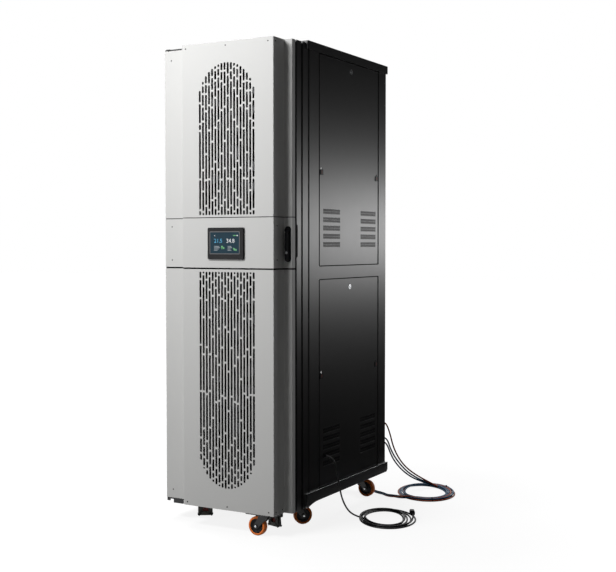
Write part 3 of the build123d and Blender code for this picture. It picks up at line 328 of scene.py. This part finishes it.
for name, strand in strands.items():
    points = [place(*p) for p in strand["route"]]
    points += coilTurns(strandCoil, strand["lanes"], strand["roll"])
    tail = [place(*p) for p in tailRoute]
    for i, spot in enumerate(tail):
        ahead = tail[min(i + 1, len(tail) - 1)] - tail[max(i - 1, 0)]
        sideways = ahead.cross(Vector((0, 0, 1))).normalized()
        above = sideways.cross(ahead).normalized()
        roll = math.radians(strand["roll"] + tailTwist["step"] * i)
        points.append(spot + tailTwist["radius"] * (math.cos(roll) * sideways + math.sin(roll) * above))
    cord = cordCurve(name, points, strand["finish"])
    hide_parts(strand["node"], "strand_coil", "strand_tail")
    print(name, round(lineLength(points), 3))


# Ties: a band round the pile of leads, squarer than an ellipse, with its head on top
tie = {"inward": -6.5, "height": 8.1, "halfWidth": 0.0205, "halfHeight": 0.0074, "band": 0.0036,
       "thick": 0.0006, "steps": 28, "square": 0.7, "ahead": 2, "headShift": 0.35, "headRise": 0.0022,
       "head": (0.0055, 0.0062, 0.0044), "headRound": 0.0008}


def squared(value):
    return math.copysign(abs(value) ** tie["square"], value)


def tieBand(name, coil, angle):
    centre = coilPoint(coil, angle, tie["inward"], tie["height"])
    before = coilPoint(coil, angle - tie["ahead"], 0, tie["height"])
    ahead = (coilPoint(coil, angle + tie["ahead"], 0, tie["height"]) - before).normalized()
    up = Vector((0, 0, 1))
    outward = ahead.cross(up).normalized()
    bm = bmesh.new()
    rings = []
    for i in range(tie["steps"]):
        turn = 2 * math.pi * i / tie["steps"]
        across, rise = squared(math.cos(turn)), squared(math.sin(turn))
        ring = []
        for grow, along in ((0, -1), (tie["thick"], -1), (tie["thick"], 1), (0, 1)):
            spot = centre + outward * across * (tie["halfWidth"] + grow) + up * rise * (tie["halfHeight"] + grow)
            ring.append(bm.verts.new(spot + ahead * along * tie["band"] / 2))
        rings.append(ring)
    for i, ring in enumerate(rings):
        following = rings[(i + 1) % len(rings)]
        for j in range(4):
            k = (j + 1) % 4
            bm.faces.new((ring[j], ring[k], following[k], following[j]))
    head = bmesh.ops.create_cube(bm, size=1)["verts"]
    spot = centre + outward * (tie["halfWidth"] * tie["headShift"])
    spot += Vector((0, 0, tie["halfHeight"] + tie["headRise"]))
    basis = Matrix((outward, ahead, up)).transposed().to_4x4()
    matrix = Matrix.Translation(spot) @ basis @ Matrix.Diagonal((*tie["head"], 1))
    bmesh.ops.transform(bm, matrix=matrix, verts=head)
    edges = [e for e in bm.edges if e.verts[0] in head and e.verts[1] in head]
    bmesh.ops.bevel(bm, geom=edges, offset=tie["headRound"], segments=2, profile=0.5, affect="EDGES",
                    material=-1)
    return meshPiece(name, bm, "plastic_black", "root")


ties = [tieBand("coilTieFar", strandCoil, 30), tieBand("coilTieNear", strandCoil, -85)]

print("cords")


# Turned pieces: an outline of radius and place along the axle, spun about it
def turned(name, outline, steps, matrix, finishName, body):
    bm = bmesh.new()
    ring = [bm.verts.new((r, a, 0)) for r, a in outline]
    sides = [bm.edges.new((ring[i], ring[(i + 1) % len(ring)])) for i in range(len(ring))]
    bmesh.ops.spin(bm, geom=ring + sides, cent=(0, 0, 0), axis=(0, 1, 0), angle=2 * math.pi, steps=steps,
                   use_merge=True)
    bmesh.ops.remove_doubles(bm, verts=bm.verts[:], dist=1e-6)
    bmesh.ops.transform(bm, matrix=matrix, verts=bm.verts[:])
    return meshPiece(name, bm, finishName, body)


# Wheels: a grooved core and a rounded tyre
wheel = {"radius": 0.0375, "width": 0.024, "inner": 0.028, "trail": 0.035, "wall": 0.006, "round": 0.005,
         "arc": (0.25, 0.6, 1.0, 1.35), "tyreSteps": 56, "coreSteps": 40,
         "coreHalf": [(0.00405, 0.011), (0.009, 0.011), (0.0098, 0.0102), (0.0112, 0.008), (0.021, 0.0072),
                      (0.0228, 0.0095), (0.0240, 0.011), (0.028, 0.011)]}
casters = {
    "fr": (216, 238, 45, "wheel_fr"), "fl": (-216, 238, 145, "wheel_fl"), "rr": (216, 830, 0, "wheel_rr"),
    "rl": (-216, 830, 180, "wheel_rl"), "door": (210, 26, 180, "door_wheel"),
}
r, w, bend = wheel["radius"], wheel["width"] / 2, wheel["round"]
tread = [(wheel["inner"], -w), (r - wheel["wall"], -w)]
for side in (-1, 1):
    arc = [(r - bend + bend * math.sin(a), side * (w - bend + bend * math.cos(a))) for a in wheel["arc"]]
    tread += arc if side < 0 else arc[::-1]
tread += [(r - wheel["wall"], w), (wheel["inner"], w)]
core = [(r, -a) for r, a in wheel["coreHalf"]] + wheel["coreHalf"][::-1]
for key, (x, depth, heading, body) in casters.items():
    turn = Matrix.Rotation(math.radians(heading), 4, "Z")
    spot = place(x, depth, 0)
    matrix = Matrix.Translation(spot) @ turn @ Matrix.Translation((wheel["trail"], 0, wheel["radius"]))
    tyre = turned("tyre_" + key, tread, wheel["tyreSteps"], matrix, "orange_tread", body)
    hub = turned("core_" + key, core, wheel["coreSteps"], matrix, "plastic_black", body)
    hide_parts("door_caster_wheel" if key == "door" else "caster_wheel_" + key)
    for piece in (tyre, hub):
        piece.data.polygons.foreach_set("use_smooth", [True] * len(piece.data.polygons))
print("wheels")


# Small screws in the door's panels
screwProfile = [(0.0, 0.0004), (0.0011, 0.0004), (0.0013, 0.0011), (0.0021, 0.0009), (0.0026, 0.0004),
                (0.0028, -0.0003), (0.0, -0.0003)]
screwSteps = 14
frontScrews = [(-141, 0, 1897), (46, 0, 1897), (238.4, 0, 1897), (-140, 0, 100.5), (49, 0, 100.5),
               (239.4, 0, 100.5), (-266, 77.7, 1873), (-266, 77.7, 1200), (-266, 77.7, 1065),
               (-266, 77.7, 122)]
sideScrews = [(263, 15, 1897), (263, 25, 1199), (263, 25, 1069), (263, 14.5, 101), (263, 63.6, 101.6)]


def screwHead(name, spot, outward):
    matrix = Matrix.Translation(spot) @ Vector((0, 1, 0)).rotation_difference(outward).to_matrix().to_4x4()
    return turned(name, screwProfile, screwSteps, matrix, "rubber_black", "door")


for i, spot in enumerate(frontScrews):
    screwHead("frontScrew" + str(i), place(*spot), Vector((0, -1, 0)))
for i, spot in enumerate(sideScrews):
    screwHead("sideScrew" + str(i), place(*spot), Vector((1, 0, 0)))
print("screws")


# Boxes and rings
def slab(bm, x0, x1, depth0, depth1, z0, z1):
    made = bmesh.ops.create_cube(bm, size=1)["verts"]
    size = Matrix.Diagonal(((x1 - x0) / 1000, (depth1 - depth0) / 1000, (z1 - z0) / 1000, 1))
    middle = Matrix.Translation(place((x0 + x1) / 2, (depth0 + depth1) / 2, (z0 + z1) / 2))
    bmesh.ops.transform(bm, matrix=middle @ size, verts=made)
    return made


def roundedSlab(bm, x0, x1, depth0, depth1, z0, z1, axis, corner, segments):
    made = slab(bm, x0, x1, depth0, depth1, z0, z1)
    along = [e for e in bm.edges if e.verts[0] in made and e.verts[1] in made
             and abs(e.verts[0].co[axis] - e.verts[1].co[axis]) > 1e-5]
    bmesh.ops.bevel(bm, geom=along, offset=corner / 1000, segments=segments, profile=0.5, affect="EDGES",
                    material=-1)


def roundedBox(bm, matrix, middle, size, corner, segments):
    made = bmesh.ops.create_cube(bm, size=1)["verts"]
    whole = matrix @ Matrix.Translation(Vector(middle)) @ Matrix.Diagonal((*size, 1))
    bmesh.ops.transform(bm, matrix=whole, verts=made)
    bmesh.ops.bevel(bm, geom=bm.edges[:], offset=corner, segments=segments, profile=0.5, affect="EDGES",
                    material=-1)


def ringPlate(bm, corners, corner, segments, band, shift):
    face = bm.faces.new([bm.verts.new(spot) for spot in corners])
    bmesh.ops.bevel(bm, geom=list(face.verts), offset=corner / 1000, segments=segments, profile=0.5,
                    affect="VERTICES", material=-1)
    bm.faces.ensure_lookup_table()
    inner = bm.faces[0]
    bmesh.ops.inset_region(bm, faces=[inner], thickness=band / 1000, use_even_offset=True, use_boundary=True)
    bmesh.ops.delete(bm, geom=[inner], context="FACES")
    risen = bmesh.ops.extrude_face_region(bm, geom=bm.faces[:])["geom"]
    bmesh.ops.translate(bm, vec=shift, verts=[v for v in risen if isinstance(v, bmesh.types.BMVert)])


# Vents: a dark plate with fine bars in each pressed slot of the side panels; the dark plate is painted shade for
# the inside seen through the perforated slot
vents = {
    "starts": (325.5, 664.5), "feet": {"u": 1117, "l": 226}, "rows": 5, "pitch": 33.5, "length": 148,
    "height": 22, "floor": 298.8, "plate": 0.3, "face": 299.8, "bars": 26, "bar": 1.9, "edge": 1.0,
    "spine": 0.7,
}
for side, sign in (("r", 1), ("l", -1)):
    for level, foot in vents["feet"].items():
        plates = bmesh.new()
        bars = bmesh.new()
        back = sorted((sign * vents["floor"], sign * (vents["floor"] + vents["plate"])))
        front = sorted((sign * (vents["floor"] + vents["plate"]), sign * vents["face"]))
        for start in vents["starts"]:
            end = start + vents["length"] - vents["edge"]
            begin = start + vents["edge"]
            for row in range(vents["rows"]):
                low = foot + vents["pitch"] * row + vents["edge"]
                high = foot + vents["pitch"] * row + vents["height"] - vents["edge"]
                slab(plates, *back, begin, end, low, high)
                for i in range(vents["bars"]):
                    at = begin + (end - begin - vents["bar"]) * i / (vents["bars"] - 1)
                    slab(bars, *front, at, at + vents["bar"], low, high)
                middle = (low + high) / 2
                slab(bars, *front, begin, end, middle - vents["spine"], middle + vents["spine"])
        # The dark plates are painted shade of the open slots
        meshPiece("ventShadePlates_" + side + level, plates, "rubber_black", "root")
        meshPiece("ventBars_" + side + level, bars, "frame_black", "root")
print("vents")

# Painted shade: a matte black band in the gap round each side panel, for the shade in the gap
gapShade = {"low": {"u": 1043, "l": 146}, "high": {"u": 1887, "l": 986}, "front": 297, "rear": 835,
         "band": 4.2, "lap": 0.8, "inner": 298.6, "outer": 300.12}
for side, sign in (("r", 1), ("l", -1)):
    for level in ("u", "l"):
        bm = bmesh.new()
        low, high = gapShade["low"][level] + gapShade["lap"], gapShade["high"][level] - gapShade["lap"]
        front, rear = gapShade["front"] + gapShade["lap"], gapShade["rear"] - gapShade["lap"]
        walls = sorted((sign * gapShade["inner"], sign * gapShade["outer"]))
        band = gapShade["band"]
        slab(bm, *walls, front - band, front, low - band, high + band)
        slab(bm, *walls, rear, rear + band, low - band, high + band)
        slab(bm, *walls, front, rear, low - band, low)
        slab(bm, *walls, front, rear, high, high + band)
        # The black band is painted shade in the panel gap
        meshPiece("panelGapShade_" + side + level, bm, "rubber_black", "root")

# Latches: a rounded thumb piece with a dark red mark
latches = {"places": (311, 819), "heights": {"u": 1418, "l": 598}, "width": 25, "height": 22, "inner": 300.3,
           "outer": 302.6, "corner": 2.5, "segments": 3, "mark": 8, "markHeight": 14, "markBack": 302.1,
           "markFace": 302.95}
for side, sign in (("r", 1), ("l", -1)):
    for level, z in latches["heights"].items():
        thumbs = bmesh.new()
        marksMesh = bmesh.new()
        for depth in latches["places"]:
            half, tall = latches["width"] / 2, latches["height"] / 2
            walls = sorted((sign * latches["inner"], sign * latches["outer"]))
            roundedSlab(thumbs, *walls, depth - half, depth + half, z - tall, z + tall, 0, latches["corner"],
                        latches["segments"])
            walls = sorted((sign * latches["markBack"], sign * latches["markFace"]))
            slab(marksMesh, *walls, depth - latches["mark"] / 2, depth + latches["mark"] / 2,
                 z - latches["markHeight"] / 2, z + latches["markHeight"] / 2)
        body = "latches_" + side + level
        thumb = meshPiece("latchThumbs_" + side + level, thumbs, "plastic_black", body)
        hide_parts("panel_" + body)
        meshPiece("latchMarks_" + side + level, marksMesh, "latch_red", body)
print("latches")

# Pedals: a thick frame round the foot plate, a dark red pad behind it that is painted shade, for the orange tyre
# in shade seen through the frame, and an arm that ends clear of the wheel
pedal = {
    "headings": {"fr": -106, "fl": -56}, "front": 117, "back": 99, "half": 31, "taper": 0.82, "low": 13,
    "high": 65, "band": 16.5, "corner": 9, "cornerSegments": 4, "sharp": 1.2, "rimRound": 0.0022,
    "shadePadMiddle": (0.107, 0, 0.038), "shadePadSize": (0.006, 0.036, 0.024), "shadePadRound": 0.002,
    "armMiddle": (0.0895, 0, 0.056), "armSize": (0.025, 0.036, 0.022), "armRound": 0.005,
}
for key, heading in pedal["headings"].items():
    x, depth = casters[key][0], casters[key][1]
    matrix = Matrix.Translation(place(x, depth, 0)) @ Matrix.Rotation(math.radians(heading), 4, "Z")
    half, narrow = pedal["half"], pedal["half"] * pedal["taper"]
    spots = ((-half, pedal["low"]), (half, pedal["low"]), (narrow, pedal["high"]), (-narrow, pedal["high"]))
    bm = bmesh.new()
    ringPlate(bm, [(pedal["front"] / 1000, y / 1000, z / 1000) for y, z in spots], pedal["corner"],
              pedal["cornerSegments"], pedal["band"], Vector(((pedal["back"] - pedal["front"]) / 1000, 0, 0)))
    rims = [e for e in bm.edges if len(e.link_faces) == 2 and e.calc_face_angle(0) > pedal["sharp"]]
    bmesh.ops.bevel(bm, geom=rims, offset=pedal["rimRound"], segments=2, profile=0.5, affect="EDGES",
                    material=-1)
    bmesh.ops.transform(bm, matrix=matrix, verts=bm.verts)
    meshPiece("pedalFrame_" + key, bm, "plastic_grey", "pedal_" + key)
    bm = bmesh.new()
    # The dark red pad is painted shade: the orange tyre in shade seen through the pedal frame
    roundedBox(bm, matrix, pedal["shadePadMiddle"], pedal["shadePadSize"], pedal["shadePadRound"], 2)
    meshPiece("pedalShadePad_" + key, bm, "latch_red", "pedal_" + key)
    bm = bmesh.new()
    roundedBox(bm, matrix, pedal["armMiddle"], pedal["armSize"], pedal["armRound"], 3)
    meshPiece("pedalArm_" + key, bm, "plastic_black", "pedal_" + key)

# Axle ends: small bright domes on the forks
axle = {"profile": [(0.0, 0.0016), (0.0018, 0.0014), (0.0034, 0.0008), (0.0042, 0.0), (0.0042, -0.001),
                    (0.0, -0.001)], "steps": 16, "sides": (("Near", -0.0231), ("Far", 0.0201))}
for key, (x, depth, heading, body) in casters.items():
    turn = Matrix.Translation(place(x, depth, 0)) @ Matrix.Rotation(math.radians(heading), 4, "Z")
    for name, out in axle["sides"]:
        matrix = turn @ Matrix.Translation((wheel["trail"], out, wheel["radius"]))
        if name == "Near":
            matrix = matrix @ Matrix.Rotation(math.pi, 4, "X")
        turned("axle" + name + "_" + key, axle["profile"], axle["steps"], matrix, "steel",
               "door_caster" if key == "door" else "caster_" + key)
print("pedals")

# Skirt lips: a bright zinc strip along the top of each side skirt, a painted highlight on the fold of the lip
highlightLip = {"front": 174.5, "rear": 923.5, "inner": 308.5, "outer": 309.95, "low": 143.9, "high": 145.2,
       "round": 0.0003}
for side, sign in (("r", 1), ("l", -1)):
    bm = bmesh.new()
    walls = sorted((sign * highlightLip["inner"], sign * highlightLip["outer"]))
    slab(bm, *walls, highlightLip["front"], highlightLip["rear"], highlightLip["low"], highlightLip["high"])
    bmesh.ops.bevel(bm, geom=bm.edges[:], offset=highlightLip["round"], segments=2, profile=0.5, affect="EDGES",
                    material=-1)
    # The zinc strip is a painted highlight on the lip's fold
    meshPiece("lipHighlight_" + side, bm, "zinc", "root")


# Screen: a pane set back in its surround, a thin rim, and generic numbers and marks
screen = {"left": -24.4, "right": 115.4, "low": 1090.1, "high": 1178.9, "front": -7.3, "back": -5.6,
          "corner": 3.5, "segments": 6, "rim": 3.2, "rimFront": -7.9, "mark": -7.6, "sink": 0.1,
          "barRound": 0.45, "barSegments": 4, "dotSides": 20, "digitSize": 0.0225, "digitDeep": 0.0002,
          "digitLow": 1134.6, "digitLift": 0.15}
bm = bmesh.new()
roundedSlab(bm, screen["left"], screen["right"], screen["front"], screen["back"], screen["low"],
            screen["high"], 1, screen["corner"], screen["segments"])
pane = meshPiece("screenPane", bm, "screen_glass", "door")
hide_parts("display_screen")
corners = ((screen["left"], screen["low"]), (screen["right"], screen["low"]),
           (screen["right"], screen["high"]), (screen["left"], screen["high"]))
bm = bmesh.new()
ringPlate(bm, [place(x, screen["rimFront"], z) for x, z in corners], screen["corner"], screen["segments"],
          screen["rim"], Vector((0, (screen["back"] - screen["rimFront"]) / 1000, 0)))
meshPiece("screenRim", bm, "plastic_grey", "door", screenFinishes["rim"])

marks = {
    "white": {"dots": [(-0.9, 1162.3, 1.7), (103.6, 1162.6, 2.6)], "bars": []},
    "green": {"dots": [(33.5, 1119.0, 4.2), (41.0, 1114.2, 3.6), (33.0, 1111.6, 2.2), (86.5, 1112.6, 2.4),
                       (91.0, 1108.6, 4.6), (98.0, 1107.0, 3.4)],
              "bars": [(84.5, 99.5, 1161.0, 1164.2)]},
    "grey": {"dots": [], "bars": [(-3.4, 21.0, 1119.4, 1122.0), (-3.4, 24.5, 1114.4, 1117.0),
                                  (-3.4, 18.0, 1109.4, 1112.0), (59.4, 76.0, 1119.4, 1122.0),
                                  (59.4, 80.0, 1114.4, 1117.0), (59.4, 72.5, 1109.4, 1112.0),
                                  (-3.4, 13.0, 1104.4, 1107.0), (59.4, 77.0, 1104.4, 1107.0)]},
}
markBack = screen["front"] + screen["sink"]
for color, mark in marks.items():
    bm = bmesh.new()
    for left, right, low, high in mark["bars"]:
        roundedSlab(bm, left, right, screen["mark"], markBack, low, high, 1, (high - low) * screen["barRound"],
                    screen["barSegments"])
    for x, z, radius in mark["dots"]:
        turn = Matrix.Rotation(math.radians(90), 4, "X")
        spot = Matrix.Translation(place(x, (screen["mark"] + markBack) / 2, z))
        bmesh.ops.create_cone(bm, cap_ends=True, segments=screen["dotSides"], radius1=radius / 1000,
                              radius2=radius / 1000, depth=(markBack - screen["mark"]) / 1000,
                              matrix=spot @ turn)
    meshPiece("screen_" + color, bm, "screen_glass", "door", screenFinishes[color])

readings = {"readingLeft": ("21.5", -3.3, "blue"), "readingRight": ("34.8", 53.0, "white")}
for name, (digits, x, color) in readings.items():
    written = bpy.data.curves.new(name, "FONT")
    written.body = digits
    written.size = screen["digitSize"]
    written.extrude = screen["digitDeep"]
    written.resolution_u = 3
    letters = bpy.data.objects.new(name, written)
    bpy.context.collection.objects.link(letters)
    mesh = bpy.data.meshes.new_from_object(letters.evaluated_get(bpy.context.evaluated_depsgraph_get()))
    bpy.data.objects.remove(letters)
    bm = bmesh.new()
    bm.from_mesh(mesh)
    bpy.data.meshes.remove(mesh)
    bmesh.ops.remove_doubles(bm, verts=bm.verts, dist=1e-6)
    spot = Matrix.Translation(place(x, screen["front"] - screen["digitLift"], screen["digitLow"]))
    bmesh.ops.transform(bm, matrix=spot @ Matrix.Rotation(math.radians(90), 4, "X"), verts=bm.verts)
    meshPiece(name, bm, "screen_glass", "door", screenFinishes[color])
print("screen")


# Floor, backdrop and lights
def flatPiece(name, corners):
    mesh = bpy.data.meshes.new(name)
    mesh.from_pydata(corners, [], [(0, 1, 2, 3)])
    piece = bpy.data.objects.new(name, mesh)
    bpy.context.collection.objects.link(piece)
    material = bpy.data.materials.new(name)
    material.use_nodes = True
    material.node_tree.nodes.clear()
    mesh.materials.append(material)
    return piece, material.node_tree.nodes, material.node_tree.links


def seenRays(nodes, links):
    path = nodes.new("ShaderNodeLightPath")
    carried = path.outputs["Is Camera Ray"]
    for name in ("Is Glossy Ray", "Is Transmission Ray"):
        either = nodes.new("ShaderNodeMath")
        either.operation = "MAXIMUM"
        links.new(carried, either.inputs[0])
        links.new(path.outputs[name], either.inputs[1])
        carried = either.outputs[0]
    return carried


stage = {"floorColor": 0.20, "near": 0.86, "nearEnd": 1.1, "farStart": 3.2, "fill": 0.05, "bounce": 0.14,
         "cardColor": 0.004}
floor, nodes, links = flatPiece("floor", [(-30, -30, 0), (30, -30, 0), (30, 30, 0), (-30, 30, 0)])
where = nodes.new("ShaderNodeTexCoord")
distance = nodes.new("ShaderNodeVectorMath")
distance.operation = "LENGTH"
links.new(where.outputs["Object"], distance.inputs[0])
glow = nodes.new("ShaderNodeMapRange")
for name, value in (("From Min", stage["nearEnd"]), ("From Max", stage["farStart"]), ("To Min", stage["near"]),
                    ("To Max", 1.0)):
    glow.inputs[name].default_value = value
links.new(distance.outputs["Value"], glow.inputs["Value"])
shine = nodes.new("ShaderNodeEmission")
links.new(glow.outputs["Result"], shine.inputs["Strength"])
lit = nodes.new("ShaderNodeBsdfDiffuse")
lit.inputs["Color"].default_value = (stage["floorColor"],) * 3 + (1,)
seen = nodes.new("ShaderNodeAddShader")
links.new(shine.outputs[0], seen.inputs[0])
links.new(lit.outputs[0], seen.inputs[1])
bounce = nodes.new("ShaderNodeBsdfDiffuse")
bounce.inputs["Color"].default_value = (stage["bounce"],) * 3 + (1,)
mix = nodes.new("ShaderNodeMixShader")
links.new(seenRays(nodes, links), mix.inputs[0])
links.new(bounce.outputs[0], mix.inputs[1])
links.new(seen.outputs[0], mix.inputs[2])
output = nodes.new("ShaderNodeOutputMaterial")
links.new(mix.outputs[0], output.inputs["Surface"])

# Dark cards that only gloss shows keep the satin black of the cabinet deep, as in a photographer's studio
cards = {
    "rearCard": [(0.4, 5.2, 0), (6, 5.2, 0), (6, 5.2, 5), (0.4, 5.2, 5)],
    "sideCard": [(6, -8, 0), (6, 5.2, 0), (6, 5.2, 5), (6, -8, 5)],
    "lowCard": [(0.42, -0.6, 0.002), (6, -0.6, 0.002), (6, 5.2, 0.002), (0.42, 5.2, 0.002)],
}
for name, corners in cards.items():
    card, nodes, links = flatPiece(name, corners)
    dark = nodes.new("ShaderNodeBsdfDiffuse")
    dark.inputs["Color"].default_value = (stage["cardColor"],) * 3 + (1,)
    output = nodes.new("ShaderNodeOutputMaterial")
    links.new(dark.outputs[0], output.inputs["Surface"])
    card.visible_camera = False
    card.visible_diffuse = False
    card.visible_transmission = False
    card.visible_shadow = False

world = bpy.data.worlds.new("studio")
bpy.context.scene.world = world
world.use_nodes = True
nodes, links = world.node_tree.nodes, world.node_tree.links
nodes.clear()
seen = nodes.new("ShaderNodeBackground")
seen.inputs["Color"].default_value = (1, 1, 1, 1)
seen.inputs["Strength"].default_value = 1.0
fill = nodes.new("ShaderNodeBackground")
fill.inputs["Color"].default_value = (1, 1, 1, 1)
fill.inputs["Strength"].default_value = stage["fill"]
mix = nodes.new("ShaderNodeMixShader")
links.new(seenRays(nodes, links), mix.inputs[0])
links.new(fill.outputs[0], mix.inputs[1])
links.new(seen.outputs[0], mix.inputs[2])
output = nodes.new("ShaderNodeOutputWorld")
links.new(mix.outputs[0], output.inputs["Surface"])
bpy.context.scene.view_settings.view_transform = "Standard"


def lamp(name, spot, target, size, power):
    data = bpy.data.lights.new(name, "AREA")
    data.shape = "RECTANGLE"
    data.size, data.size_y = size
    data.energy = power
    light = bpy.data.objects.new(name, data)
    light.location = spot
    light.rotation_euler = (Vector(target) - Vector(spot)).to_track_quat("-Z", "Y").to_euler()
    light.visible_camera = False
    bpy.context.collection.objects.link(light)
    return light


lamps = {
    "key": ((-0.7, -2.3, 2.75), (0.0, -0.45, 1.7), (1.2, 0.5), 58),
    "front": ((-2.7, -4.1, 1.35), (0, -0.45, 1.1), (1.6, 1.3), 52),
    "rear": ((2.5, 4.3, 1.26), (0.3, 0.1, 1.15), (1.9, 0.6), 30),
    "top": ((-1.1, 0.6, 4.5), (-0.3, 0.1, 0), (2.2, 3.0), 150),
}
for name, values in lamps.items():
    lamp(name, *values)
print("stage")
